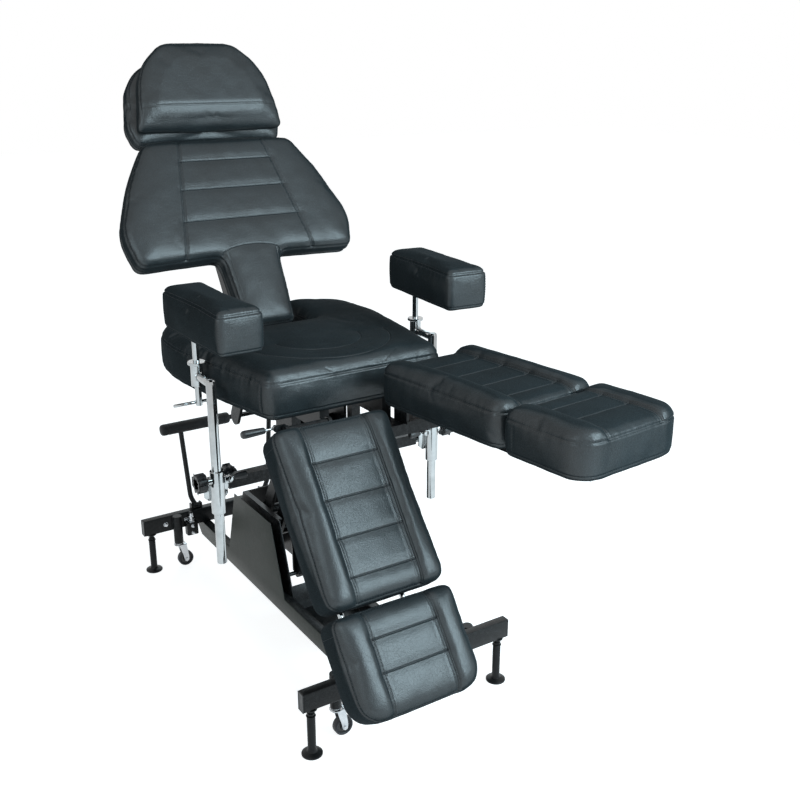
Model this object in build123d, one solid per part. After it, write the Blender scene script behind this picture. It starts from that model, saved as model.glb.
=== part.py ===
from build123d import *
from math import cos, hypot, radians, sin
import os

# Tattoo chair. Millimetres, +Z up. The sitter faces -Y, so the sitter's left hand is +X.
# Heights are above the floor, and Y places are counted from the leg hinge line.
# The finished chair is moved along Y, so that the origin lies under its middle.
frame_shift = -164.8

# Running fits, and how far a cutter passes through what it cuts
run_gap = 0.08
slide_gap = 0.3
overrun = 5.0

# Base: two crossbars on two long rails
crossbar_length = 583.0
crossbar_height = 50.0
crossbar_depth = 25.0
crossbar_bottom = 125.0
front_bar_y = -197.0
rear_bar_y = 845.0
tube_wall = 2.5
rail_width = 25.0
rail_height = 50.0
rail_inner_half = 75.0
rail_tail = 22.0
rail_chamfer = 22.0
cap_lip = 2.0
cap_plug = 12.0

# Levelling feet
foot_x = 268.0
foot_disc_diameter = 50.0
foot_disc_height = 5.0
foot_cone_height = 7.0
foot_stem_diameter = 20.0
foot_stem_gap = 6.0
foot_stud_diameter = 12.0
foot_stud_reach = 26.0

# Casters
caster_x = 190.0
caster_stem_diameter = 11.0
caster_stem_length = 40.0
socket_diameter = 28.0
socket_bottom = 84.0
socket_bite = 3.0
wheel_diameter = 48.0
wheel_width = 20.0
wheel_hub_diameter = 20.0
wheel_recess_diameter = 36.0
wheel_recess = 3.0
wheel_floor_gap = 3.0
caster_trail = 17.0
fork_top_diameter = 32.0
fork_race_diameter = 24.0
fork_plate = 3.0
fork_race_height = 4.0
fork_cheek_width = 22.0
fork_foot_half = 7.0
fork_side_gap = 1.0
axle_diameter = 8.0
axle_head = 3.0
axle_head_diameter = 13.0

# Sheet housing of the lift, between the rails
sheet = 3.0
housing_bottom = 85.0
housing_top = 325.0
housing_top_front = 345.0
housing_top_rear = 582.0
housing_foot_front = 265.0
housing_foot_rear = 655.0
housing_lip = 12.0
housing_tie_height = 26.0

# Parallelogram lift, places as (y, z)
lift_pivot_y = 442.0
lift_pivot_z = 248.0
lift_arm_length = 360.0
lift_arm_angle = 60.0
lift_pair_y = 40.0
lift_pair_z = 50.0
lift_pin_diameter = 16.0
lift_arm_width = 38.0
lift_arm_plate = 10.0
lift_hub_diameter = 28.0
lower_arm_half = 40.0
upper_arm_half = 52.0
arm_tie_diameter = 22.0
arm_tie_share = 0.74

# Hydraulic ram: both its pivots lie at one distance from the lower arm's base pivot
ram_reach = 130.0
ram_foot_angle = -60.0
ram_pin_diameter = 12.0
ram_body_diameter = 44.0
ram_body_length = 142.0
ram_rod_diameter = 28.0
ram_rod_length = 142.0
ram_bore_floor = 18.0
ram_eye_diameter = 28.0
ram_eye_width = 26.0
ram_collar_length = 12.0
ram_collar_diameter = 52.0

# Pump lever on the rear crossbar, and the pump block beside it
lever_rod_diameter = 15.0
lever_foot_x = 118.0
lever_knee_x = 133.0
lever_top_x = 150.0
lever_pivot_rise = 9.0
lever_knee_rise = 42.0
lever_top_rise = 279.0
lever_pin_diameter = 8.0
lever_lug_plate = 5.0
lever_lug_width = 18.0
lever_lug_gap = 13.0
lever_left_end = 212.0
grip_diameter = 35.0
grip_right_end = 10.0
grip_round = 10.0
pump_block_width = 36.0
pump_block_depth = 26.0
pump_block_height = 40.0
pump_block_chamfer = 4.0
pump_x = 146.0
pump_fitting_diameter = 12.0
pump_fitting_height = 34.0

# Seat frame under the cushion
seat_rail_half = 99.0
seat_rail_width = 25.0
seat_rail_height = 55.0
seat_rail_bottom = 685.0
seat_rail_front = 50.0
seat_rail_rear = 500.0
seat_rail_eye = 40.0
seat_front_bar_height = 28.0
seat_front_bar_front = -12.0
seat_front_bar_depth = 36.0
seat_front_bar_half = 205.0
seat_front_web_rear = 90.0
seat_mid_bar_y = 330.0
seat_mid_bar_depth = 30.0
hanger_plate = 8.0
hanger_width = 44.0
recline_plate_run = 46.0
recline_plate_width = 46.0

# Bar that carries both armrests
arm_bar_size = 30.0
arm_bar_bottom = 525.0
arm_bar_front = 198.0
arm_bar_half = 274.0
arm_bar_wall = 3.0

# Armrest support: inner slide, sleeve, tube, socket and post
arm_left_lift = 20.0
inner_bar_start = 130.0
arm_tube_out = 38.0
arm_x = arm_bar_half + arm_tube_out
arm_tube_y = 180.0
arm_tube_diameter = 24.0
arm_tube_bottom = 345.0
arm_elbow_z = 806.0
arm_offset = 82.0
sleeve_diameter = 34.0
sleeve_bottom = 480.0
sleeve_length = 109.0
sleeve_boss_diameter = 18.0
sleeve_boss_reach = 25.0
slider_plate = 5.0
slider_plate_gap = 6.0
slider_plate_reach = 29.0
slider_plate_height = 62.0
slider_plate_chamfer = 10.0
arm_link_diameter = 20.0
arm_socket_diameter = 30.0
arm_socket_drop = 25.0
arm_socket_bottom = arm_elbow_z - arm_socket_drop
arm_socket_length = 60.0
arm_socket_flange_diameter = 42.0
arm_socket_flange_height = 7.0
arm_post_diameter = 16.0
arm_post_drop = 50.0
arm_post_foot_z = arm_socket_bottom - arm_post_drop
tommy_diameter = 8.0
tommy_length = 88.0
tommy_offset = 20.0
tommy_rise = 9.0
arm_pad_rise = 78.0
arm_pad_bottom = arm_socket_bottom + arm_socket_length + arm_pad_rise
arm_pad_thickness = 94.0
arm_pad_crown = 11.0
arm_pad_crown_inset = 28.0
arm_pad_width = 122.0
arm_pad_length = 322.0
arm_pad_front = -4.0
arm_pad_round = 18.0
left_pad_toe = 4.8
right_pad_toe = 1.2
arm_plate_thickness = 4.0
arm_plate_width = 60.0
arm_plate_length = 130.0
arm_plate_rear = 30.0

# Knobs and the small lever of each armrest
height_knob_diameter = 48.0
height_knob_length = 24.0
height_knob_z = 566.0
height_knob_out = 18.0
slide_knob_diameter = 42.0
slide_knob_length = 22.0
slide_knob_inset = 20.0
slide_knob_x = arm_bar_half - slide_knob_inset
slide_knob_z = 545.0
slide_knob_out = 13.0
knob_stud_diameter = 10.0
knob_flutes = 8
knob_flute_diameter = 9.0
knob_chamfer = 3.0
catch_in = 27.0
catch_x = arm_x - catch_in
catch_y = 175.0
catch_z = 566.0
catch_eye_diameter = 16.0
catch_eye_width = 6.0
catch_rod_diameter = 5.0
catch_pin_diameter = 6.0
catch_grip_diameter = 19.0
catch_grip_start = 15.0
catch_grip_length = 34.0

# Seat cushion
seat_cushion_bottom = 740.0
seat_edge_thickness = 96.0
seat_crown = 24.0
seat_crown_inset = 40.0
seat_front_y = 24.0
seat_wide_over = 2.0
seat_wide_half = arm_x + seat_wide_over
seat_front_in = 74.0
seat_front_half = seat_wide_half - seat_front_in
seat_front_round = 34.0
seat_side_in = 33.0
seat_side_half = seat_wide_half - seat_side_in
seat_side_y = 230.0
seat_side_round = 1200.0
seat_wide_y = 450.0
seat_wide_round = 500.0
seat_rear_in = 24.0
seat_rear_half = seat_wide_half - seat_rear_in
seat_rear_step = 152.0
seat_rear_y = seat_wide_y + seat_rear_step
seat_rear_round = 110.0
seat_tail_half = 170.0
seat_tail_step = 70.0
seat_tail_y = seat_rear_y + seat_tail_step
seat_tail_round = 24.0
seat_notch_half = 106.0
seat_notch_front = 450.0
seat_notch_round = 20.0
seat_notch_lip_round = 8.0
seat_arc_radii = (190.0, 115.0)
seat_arc_centre_y = 250.0
seam_width = 5.0
seam_depth = 5.0

# Backrest, in its own frame: origin at the recline hinge, +Y up the back, +Z to the sitter
recline_hinge_y = 514.0
recline_hinge_z = 705.0
recline_angle = 32.85
recline_pin_diameter = 16.0
back_rear_face = 29.0
back_edge_thickness = 66.0
back_crown = 14.0
back_crown_inset = 44.0
back_top = 657.0
back_shoulder_half = 216.0
back_shoulder_round = 44.0
back_side_half = 284.0
back_side_drop = 112.0
back_side = back_top - back_side_drop
back_side_round = 400.0
back_wide_half = 340.0
back_wide = 400.0
back_wide_round = 120.0
back_wing_half = 317.0
back_neck_top = 304.0
back_wing_foot = 296.0
back_wing_round = 26.0
back_neck_half = 88.0
back_neck_round = 18.0
back_neck_foot_half = 76.0
back_neck_foot = 98.0
back_neck_foot_round = 14.0
back_bar_half = 68.0
back_bar_plate = 10.0
back_bar_width = 36.0
back_bar_drop = 57.0
back_bar_end = back_top - back_bar_drop
back_tie_half = 150.0
back_tie_height = 40.0
back_tie_depth = 24.0
back_tie_low = 350.0
back_tie_inset = 40.0
back_tie_high = back_bar_end - back_tie_inset
channel_top_half = 121.0
channel_foot_half = 190.0
channel_top_drop = 7.0
channel_top = back_top - channel_top_drop
channel_foot = 322.0
channel_places = (585.0, 501.0, 410.0)

# Recline strut: both its pivots lie at one distance from the recline hinge
strut_reach = 130.0
strut_foot_angle = -80.0
strut_body_diameter = 28.0
strut_body_length = 150.0
strut_rod_diameter = 12.0
strut_rod_length = 150.0
strut_bore_floor = 16.0
strut_eye_diameter = 22.0
strut_eye_width = 18.0
strut_pin_diameter = 10.0

# Headrest, in its own frame: origin at the tilt pin, +Y up, +Z to the sitter
head_pin_rise = 65.0
head_pin_up = back_top + head_pin_rise
head_pin_back = -25.0
head_angle = 24.8
head_pin_diameter = 9.0
head_slide_width = 18.0
head_slide_plate = 8.0
head_slide_half = 52.0
head_slide_length = 215.0
head_slide_tie = 82.0
head_guide_drop = 182.0
head_guide_start = head_pin_up - head_guide_drop
head_guide_height = 60.0
head_guide_wall = 5.0
head_ear_half = 43.0
head_ear_height = 60.0
head_plate_half = 100.0
head_plate_start = 20.0
head_plate_height = 130.0
head_plate_thickness = 6.0
head_cushion_back = 20.0
head_edge_thickness = 54.0
head_crown = 8.0
head_crown_inset = 44.0
head_foot = -46.0
head_foot_half = 214.0
head_foot_round = 26.0
head_wide = 10.0
head_wide_half = 231.0
head_wide_round = 60.0
head_shoulder = 160.0
head_shoulder_half = 200.0
head_shoulder_round = 80.0
head_top = 206.0
head_top_half = 130.0
head_top_round = 40.0
pillow_thickness = 50.0
pillow_crown = 12.0
pillow_crown_inset = 46.0
pillow_foot = -18.0
pillow_foot_half = 218.0
pillow_foot_round = 16.0
pillow_shoulder = 165.0
pillow_shoulder_half = 180.0
pillow_shoulder_round = 60.0
pillow_top = 228.0
pillow_top_half = 116.0
pillow_top_round = 34.0
pillow_seam = 44.0
pillow_seam_half = 160.0

# Leg rests, each in its own frame: origin on its hinge, -Y along the leg, +Z out of the pad
leg_x = 157.0
hinge_z = 726.0
left_leg_drop = -1.0
right_leg_drop = 52.5
left_leg_splay = 4.8
right_leg_splay = 0.0
swing_plate = 6.0
swing_plate_half = 58.0
swing_plate_front = -16.0
swing_plate_rear = 36.0
swing_pin_diameter = 12.0
swing_pin_head = 5.0
swing_pin_head_diameter = 22.0
leg_ear_plate = 8.0
leg_ear_half = 14.0
leg_barrel_diameter = 22.0
leg_pin_diameter = 12.0
leg_neck_inner = 28.0
leg_neck_outer = 40.0
leg_neck_low = 2.0
leg_neck_high = 14.0
leg_neck_length = 45.0
leg_rail_size = 22.0
leg_rail_half = 89.0
leg_rail_start = 30.0
leg_rail_end = 418.0
leg_tie_depth = 30.0
calf_underside = 30.6
calf_start = 22.0
calf_length = 404.0
calf_width = 300.0
calf_edge_thickness = 96.0
calf_crown = 12.0
calf_crown_inset = 40.0
calf_near_round = 24.0
calf_far_round = 34.0
foot_pad_gap = 20.0
foot_pad_length = 212.0
foot_far_round = 56.0
foot_near_round = 22.0
foot_rod_diameter = 13.0
foot_rod_start = 240.0
foot_rod_end = 610.0
foot_plate = 6.0
foot_plate_half = 100.0
foot_plate_margin = 24.0
leg_seam_half = 78.0
leg_seam_margin = 44.0
calf_seam_places = (92.0, 176.0, 260.0, 344.0)
foot_seam_places = (60.0, 130.0)

# Leg lock lever on the outer ear of each leg bracket
lock_pin_out = 14.0
lock_pin_diameter = 7.0
lock_y = 20.0
lock_z = 731.0
lock_eye_diameter = 15.0
lock_eye_width = 7.0
lock_rod_diameter = 6.0
lock_rod_length = 26.0
lock_grip_diameter = 19.0
lock_grip_length = 58.0
lock_grip_round = 5.0
lock_lug_plate = 5.0

# Sections of a pad: (height as a share, inset) up its side, then shares of its crown's height and inset
pad_side_insets = ((0.0, 7.0), (0.1, 1.5), (0.5, 0.0), (0.88, 1.0), (1.0, 6.0))
pad_crown_shares = ((0.7, 0.35), (1.0, 1.0))
least_round = 6.0


def slab(x_low, x_high, y_low, y_high, z_low, z_high):
    """A box between two corners."""
    middle = ((x_low + x_high) / 2, (y_low + y_high) / 2, (z_low + z_high) / 2)
    return Pos(*middle) * Box(x_high - x_low, y_high - y_low, z_high - z_low)


def rod(start, end, diameter):
    """A round bar between two points."""
    along = Vector(*end) - Vector(*start)
    plane = Plane(origin=start, z_dir=along)
    return plane * Cylinder(diameter / 2, along.length, align=(Align.CENTER, Align.CENTER, Align.MIN))


def cross_rod(x_low, x_high, y, z, diameter):
    """A round bar along X."""
    return rod((x_low, y, z), (x_high, y, z), diameter)


def post(x, y, z_low, z_high, diameter):
    """A round bar along Z."""
    return rod((x, y, z_low), (x, y, z_high), diameter)


def side_plate(points, x_low, x_high):
    """A flat plate across X from an outline of (y, z) points."""
    plane = Plane(origin=(x_low, 0, 0), x_dir=(0, 1, 0), z_dir=(1, 0, 0))
    return extrude(plane * make_face(Polyline(*points, close=True)), x_high - x_low)


def flat_link(start, end, width, x_low, x_high):
    """A flat bar with round ends, in a plane across X, between two (y, z) points."""
    run = end[0] - start[0]
    rise = end[1] - start[1]
    length = hypot(run, rise)
    plane = Plane(origin=(x_low, *start), x_dir=(0, run, rise), z_dir=(1, 0, 0))
    return extrude(plane * Pos(length / 2, 0) * SlotCenterToCenter(length, width), x_high - x_low)


def mirrored(solid):
    """The same piece on the other side of the chair."""
    return mirror(solid, about=Plane.YZ)


def both(solid):
    """A piece and its mirror image, in one."""
    return solid + mirrored(solid)


def at_angle(point, reach, angle):
    """The (y, z) point at a reach and an angle above the forward direction."""
    return (point[0] - reach * cos(radians(angle)), point[1] + reach * sin(radians(angle)))


def along_line(start, end, distance):
    """The (0, y, z) point at a distance from start on the way to end."""
    run = end[0] - start[0]
    rise = end[1] - start[1]
    share = distance / hypot(run, rise)
    return (0, start[0] + run * share, start[1] + rise * share)


def corner_arc(before, here, after, inset):
    """Start, middle and end of the arc that rounds one corner of an outline, set in."""
    corner = Vector(here[0], here[1])
    come = (corner - Vector(before[0], before[1])).normalized()
    go = (Vector(after[0], after[1]) - corner).normalized()
    inward = Vector(-come.Y - go.Y, come.X + go.X)
    half_cosine = inward.length / 2
    side = 1 if come.cross(go).Z > 0 else -1
    corner += inward * (inset / (2 * half_cosine * half_cosine))
    radius = max(here[2] - side * inset, least_round)
    cut = radius * (1 - half_cosine * half_cosine) ** 0.5 / half_cosine
    middle = corner + inward.normalized() * side * (radius / half_cosine - radius)
    return corner - come * cut, middle, corner + go * cut


def outline(corners, inset):
    """A face from rounded (x, y, radius) corners in counter-clockwise order, set in all round."""
    count = len(corners)
    arcs = [corner_arc(corners[i - 1], corners[i], corners[(i + 1) % count], inset) for i in range(count)]
    edges = []
    for i in range(count):
        edges += [ThreePointArc(*arcs[i]), Line(arcs[i][2], arcs[(i + 1) % count][0])]
    return make_face(edges)


def both_halves(half_corners):
    """A whole outline from the corners of its +X half."""
    return half_corners + [(-x, y, radius) for x, y, radius in reversed(half_corners)]


def padded(corners, edge, crown, crown_inset):
    """A stuffed pad: drawn in at its foot, rolled at its edge and crowned on top."""
    levels = [(edge * share, inset) for share, inset in pad_side_insets]
    rim = levels[-1][1]
    for height_share, inset_share in pad_crown_shares:
        levels.append((edge + crown * height_share, rim + (crown_inset - rim) * inset_share))
    return loft([Pos(0, 0, height) * outline(corners, inset) for height, inset in levels], ruled=True)


def seam(start, end, top):
    """A cutter for one sewn channel along a straight line on a pad's top."""
    along = Vector(*end) - Vector(*start)
    plane = Plane(origin=(*start, top), x_dir=along, z_dir=(0, 0, 1))
    return plane * Pos(along.length / 2, 0, 0) * Box(along.length, seam_width, 2 * seam_depth)


def fluted_knob(diameter, length, stud_length):
    """A round knob with scalloped sides, on a stud that points along -Z."""
    body = Cylinder(diameter / 2, length, align=(Align.CENTER, Align.CENTER, Align.MIN))
    body = chamfer(body.edges().group_by(Axis.Z)[-1], knob_chamfer)
    for flute_place in PolarLocations(diameter / 2, knob_flutes):
        body -= flute_place * Pos(0, 0, length / 2) * Cylinder(knob_flute_diameter / 2, length + overrun)
    return body + Cylinder(knob_stud_diameter / 2, stud_length, align=(Align.CENTER, Align.CENTER, Align.MAX))


crossbar_top = crossbar_bottom + crossbar_height
front_socket_y = front_bar_y + crossbar_depth + socket_diameter / 2 - socket_bite
rear_socket_y = rear_bar_y - socket_diameter / 2 + socket_bite
axle_z = wheel_floor_gap + wheel_diameter / 2


def crossbar(y_low, socket_y):
    """One crossbar: a rectangular tube with a caster socket welded to it near each end."""
    half = crossbar_length / 2
    bar = slab(-half, half, y_low, y_low + crossbar_depth, crossbar_bottom, crossbar_top)
    bar += both(post(caster_x, socket_y, socket_bottom, crossbar_top, socket_diameter))
    bar -= slab(-half - overrun, half + overrun, y_low + tube_wall, y_low + crossbar_depth - tube_wall,
                crossbar_bottom + tube_wall, crossbar_top - tube_wall)
    bar -= both(post(caster_x, socket_y, socket_bottom - overrun,
                     socket_bottom + caster_stem_length + slide_gap, caster_stem_diameter + 2 * run_gap))
    return bar - both(post(foot_x, y_low + crossbar_depth / 2, crossbar_bottom - overrun,
                           crossbar_bottom + tube_wall + overrun, foot_stud_diameter + 2 * run_gap))


def crossbars():
    """The front and the rear crossbar."""
    return [crossbar(front_bar_y, front_socket_y), crossbar(rear_bar_y, rear_socket_y)]


def base_rails():
    """Two long rectangular tubes under the crossbars, each cut back at its tail."""
    bottom = crossbar_bottom - rail_height
    rear = rear_bar_y + crossbar_depth + rail_tail
    outer = rail_inner_half + rail_width
    rail = slab(rail_inner_half, outer, front_bar_y, rear, bottom, crossbar_bottom)
    rail -= slab(rail_inner_half + tube_wall, outer - tube_wall, front_bar_y - overrun, rear + overrun,
                 bottom + tube_wall, crossbar_bottom - tube_wall)
    cut = overrun + rail_chamfer
    rail -= side_plate([(rear + overrun, bottom - overrun), (rear - cut, bottom - overrun),
                        (rear + overrun, bottom + cut)], rail_inner_half - overrun, outer + overrun)
    return [rail, mirrored(rail)]


def end_caps():
    """Plastic plugs that close the four crossbar ends."""
    caps = []
    half = crossbar_length / 2
    for y_low in (front_bar_y, rear_bar_y):
        lip = slab(half, half + cap_lip, y_low, y_low + crossbar_depth, crossbar_bottom, crossbar_top)
        lip = fillet(lip.faces().sort_by(Axis.X)[-1].edges(), cap_lip / 2)
        cap = lip + slab(half - cap_plug, half, y_low + tube_wall, y_low + crossbar_depth - tube_wall,
                         crossbar_bottom + tube_wall, crossbar_top - tube_wall)
        caps += [cap, mirrored(cap)]
    return caps


def levelling_foot(x, y_low):
    """A screw foot: round sole, cone, stout stem and the stud that enters the crossbar."""
    sole = foot_disc_diameter / 2
    stem = foot_stem_diameter / 2
    stud = foot_stud_diameter / 2
    shoulder = foot_disc_height + foot_cone_height
    stem_top = crossbar_bottom - foot_stem_gap
    stud_top = crossbar_bottom + foot_stud_reach
    profile = Polyline((0, 0), (sole, 0), (sole, foot_disc_height), (stem, shoulder), (stem, stem_top),
                       (stud, stem_top), (stud, stud_top), (0, stud_top), close=True)
    return Pos(x, y_low + crossbar_depth / 2, 0) * revolve(Plane.XZ * make_face(profile), Axis.Z)


def caster_fork(x, y):
    """A swivel fork with its stem and race, and the axle bolt across it. It trails inwards."""
    plate_top = socket_bottom - slide_gap - fork_race_height
    plate_bottom = plate_top - fork_plate
    inner = wheel_width / 2 + fork_side_gap
    outer = inner + fork_plate
    fork = post(0, 0, plate_bottom, socket_bottom + caster_stem_length, caster_stem_diameter)
    fork += post(0, 0, plate_bottom, plate_top + fork_race_height, fork_race_diameter)
    fork += post(0, 0, plate_bottom, plate_top, fork_top_diameter)
    fork += slab(0, fork_cheek_width, -outer, outer, plate_bottom, plate_top)
    cheek = Polyline((0, plate_top), (fork_cheek_width, plate_top), (caster_trail + fork_foot_half, axle_z),
                     (caster_trail, axle_z - axle_diameter), (caster_trail - fork_foot_half, axle_z), close=True)
    plane = Plane(origin=(0, outer, 0), x_dir=(1, 0, 0), z_dir=(0, -1, 0))
    cheek = extrude(plane * make_face(cheek), fork_plate)
    fork += cheek + mirror(cheek, about=Plane.XZ)
    axle_ends = ((caster_trail, -outer, axle_z), (caster_trail, outer, axle_z))
    fork -= rod(*axle_ends, axle_diameter)
    axle = rod(*axle_ends, axle_diameter)
    for side in (-1, 1):
        axle += rod((caster_trail, side * outer, axle_z), (caster_trail, side * (outer + axle_head), axle_z),
                    axle_head_diameter)
    place = Pos(x, y, 0) * Rot(0, 0, 180 if x > 0 else 0)
    return [place * fork, place * axle]


def caster_wheel(x, y):
    """A tread wheel with a proud hub, bored for its axle."""
    half = wheel_width / 2
    wheel = rod((0, -half, 0), (0, half, 0), wheel_diameter)
    wheel = fillet(wheel.edges(), wheel_recess)
    recess = rod((0, half - wheel_recess, 0), (0, half + overrun, 0), wheel_recess_diameter)
    wheel -= recess + mirror(recess, about=Plane.XZ)
    wheel += rod((0, -half, 0), (0, half, 0), wheel_hub_diameter)
    wheel -= rod((0, -half - overrun, 0), (0, half + overrun, 0), axle_diameter + 2 * run_gap)
    return Pos(x + (-caster_trail if x > 0 else caster_trail), y, axle_z) * wheel


lower_base = (lift_pivot_y, lift_pivot_z)
upper_base = (lift_pivot_y + lift_pair_y, lift_pivot_z + lift_pair_z)
lower_seat = at_angle(lower_base, lift_arm_length, lift_arm_angle)
upper_seat = at_angle(upper_base, lift_arm_length, lift_arm_angle)
ram_foot = at_angle(lower_base, ram_reach, ram_foot_angle)
ram_head = at_angle(lower_base, ram_reach, lift_arm_angle)
base_pivots = ((lower_base, lift_pin_diameter), (upper_base, lift_pin_diameter), (ram_foot, ram_pin_diameter))


def lift_housing():
    """The open-topped sheet housing between the rails, and the three pivot pins across it."""
    outer = rail_inner_half
    inner = outer - sheet
    panel = side_plate([(housing_foot_front, housing_bottom), (housing_top_front, housing_top),
                        (housing_top_rear, housing_top), (housing_foot_rear, housing_bottom)], inner, outer)
    lip = slab(inner - housing_lip, inner, housing_top_front + housing_lip, housing_top_rear,
               housing_top - sheet, housing_top)
    shell = both(panel + lip)
    shell += side_plate([(housing_top_rear - sheet, housing_top), (housing_top_rear, housing_top),
                         (housing_foot_rear, housing_bottom), (housing_foot_rear - sheet, housing_bottom)],
                        -inner, inner)
    lean = (housing_top_front - housing_foot_front) / (housing_top - housing_bottom)
    tie_top = housing_bottom + housing_tie_height
    tie_front = housing_foot_front + lean * housing_tie_height
    shell += side_plate([(housing_foot_front, housing_bottom), (housing_foot_front + sheet, housing_bottom),
                         (tie_front + sheet, tie_top), (tie_front, tie_top)], -inner, inner)
    pins = []
    for point, diameter in base_pivots:
        shell -= cross_rod(-outer - overrun, outer + overrun, *point, diameter)
        pins.append(cross_rod(-outer, outer, *point, diameter))
    return [shell] + pins


def lift_arm(foot, head, half):
    """A welded arm of the lift: two flat links, a tie tube and a bored hub at each end."""
    link = flat_link(foot, head, lift_arm_width, half - lift_arm_plate, half)
    arm = both(link)
    tie = along_line(foot, head, lift_arm_length * arm_tie_share)
    arm += cross_rod(lift_arm_plate - half, half - lift_arm_plate, tie[1], tie[2], arm_tie_diameter)
    hub_half = rail_inner_half - sheet - slide_gap
    for point in (foot, head):
        arm += cross_rod(-hub_half, hub_half, *point, lift_hub_diameter)
        arm -= cross_rod(-hub_half - overrun, hub_half + overrun, *point, lift_pin_diameter + 2 * run_gap)
    return arm


def lower_arm():
    """The lower arm, with the cross pin that the ram pushes."""
    inner = lower_arm_half - lift_arm_plate
    return lift_arm(lower_base, lower_seat, lower_arm_half) + cross_rod(-inner, inner, *ram_head, ram_pin_diameter)


def upper_arm():
    """The upper arm, which keeps the seat level."""
    return lift_arm(upper_base, upper_seat, upper_arm_half)


def cylinder_body(foot, head, diameter, length, rod_diameter, bore_floor):
    """A cylinder body from its foot pivot to its mouth, bored for its rod."""
    body = rod(along_line(foot, head, bore_floor / 2), along_line(foot, head, length), diameter)
    bore = rod(along_line(foot, head, bore_floor), along_line(foot, head, length + overrun),
               rod_diameter + 2 * run_gap)
    return body - bore


def eye(point, diameter, width, pin_diameter):
    """A cross tube and the bore through it for a pivot pin."""
    bore = cross_rod(-width, width, *point, pin_diameter + 2 * run_gap)
    return cross_rod(-width / 2, width / 2, *point, diameter), bore


def lift_cylinder():
    """The ram's body, with an eye at its foot and a collar at its mouth."""
    body = cylinder_body(ram_foot, ram_head, ram_body_diameter, ram_body_length, ram_rod_diameter, ram_bore_floor)
    collar = rod(along_line(ram_foot, ram_head, ram_body_length - ram_collar_length),
                 along_line(ram_foot, ram_head, ram_body_length), ram_collar_diameter)
    body += collar - rod((0, *ram_foot), (0, *ram_head), ram_rod_diameter + 2 * run_gap)
    tube, bore = eye(ram_foot, ram_eye_diameter, ram_eye_width, ram_pin_diameter)
    return body + tube - bore


def lift_rod():
    """The ram's rod, with the eye at its head."""
    shank = rod(along_line(ram_head, ram_foot, ram_rod_length), (0, *ram_head), ram_rod_diameter)
    tube, bore = eye(ram_head, ram_eye_diameter, ram_eye_width, ram_pin_diameter)
    return shank + tube - bore


lever_y = rear_bar_y + crossbar_depth / 2
lever_foot = (lever_foot_x, lever_y, crossbar_top + lever_pivot_rise)
lever_knee = (lever_knee_x, lever_y, crossbar_top + lever_knee_rise)
lever_top = (lever_top_x, lever_y, crossbar_top + lever_top_rise)


def lever_leg():
    """One leg of the pump lever, kneed near its foot."""
    leg = rod(lever_foot, lever_knee, lever_rod_diameter) + rod(lever_knee, lever_top, lever_rod_diameter)
    for point in (lever_foot, lever_knee, lever_top):
        leg += Pos(*point) * Sphere(lever_rod_diameter / 2)
    return leg


def pump_lever():
    """The bent rod of the pump lever: two legs and the cross rod on top."""
    lever = both(lever_leg())
    lever += cross_rod(grip_round - lever_left_end, lever_top_x, lever_y, lever_top[2], lever_rod_diameter)
    return lever - cross_rod(-lever_top_x, lever_top_x, lever_y, lever_foot[2], lever_pin_diameter + 2 * run_gap)


def pump_grip():
    """The thick rubber grip over one stretch of the lever's cross rod."""
    grip = cross_rod(-lever_left_end, grip_right_end, lever_y, lever_top[2], grip_diameter)
    grip = fillet(grip.edges(), grip_round)
    grip -= cross_rod(grip_round - lever_left_end, grip_right_end + overrun, lever_y, lever_top[2],
                      lever_rod_diameter)
    return grip - mirrored(lever_leg())


def pump_unit():
    """The two lug pairs with the lever's pins, and the pump block in front of the rear crossbar."""
    inner = lever_lug_gap
    outer = lever_lug_gap + lever_lug_plate
    half = lever_lug_width / 2
    lugs = slab(lever_foot_x + inner, lever_foot_x + outer, lever_y - half, lever_y + half, crossbar_top,
                lever_foot[2] + half)
    lugs += slab(lever_foot_x - outer, lever_foot_x - inner, lever_y - half, lever_y + half, crossbar_top,
                 lever_foot[2] + half)
    lugs += cross_rod(lever_foot_x - outer, lever_foot_x + outer, lever_y, lever_foot[2], lever_pin_diameter)
    half_width = pump_block_width / 2
    half_height = pump_block_height / 2
    block = slab(-pump_x - half_width, half_width - pump_x, rear_bar_y - pump_block_depth, rear_bar_y,
                 crossbar_bottom - half_height, crossbar_bottom + half_height)
    block = chamfer(block.edges().filter_by(Axis.Z), pump_block_chamfer)
    block += post(-pump_x, rear_bar_y - pump_block_depth / 2, crossbar_bottom,
                  crossbar_bottom + half_height + pump_fitting_height, pump_fitting_diameter)
    return [lugs, mirrored(lugs), block]


recline_hinge = (recline_hinge_y, recline_hinge_z)
back_lean = 90 - recline_angle
strut_foot = (recline_hinge_y + strut_reach * cos(radians(strut_foot_angle)),
              recline_hinge_z + strut_reach * sin(radians(strut_foot_angle)))
strut_head = (recline_hinge_y + strut_reach * cos(radians(back_lean)),
              recline_hinge_z + strut_reach * sin(radians(back_lean)))
seat_pivots = ((lower_seat, lift_pin_diameter), (upper_seat, lift_pin_diameter))


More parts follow.
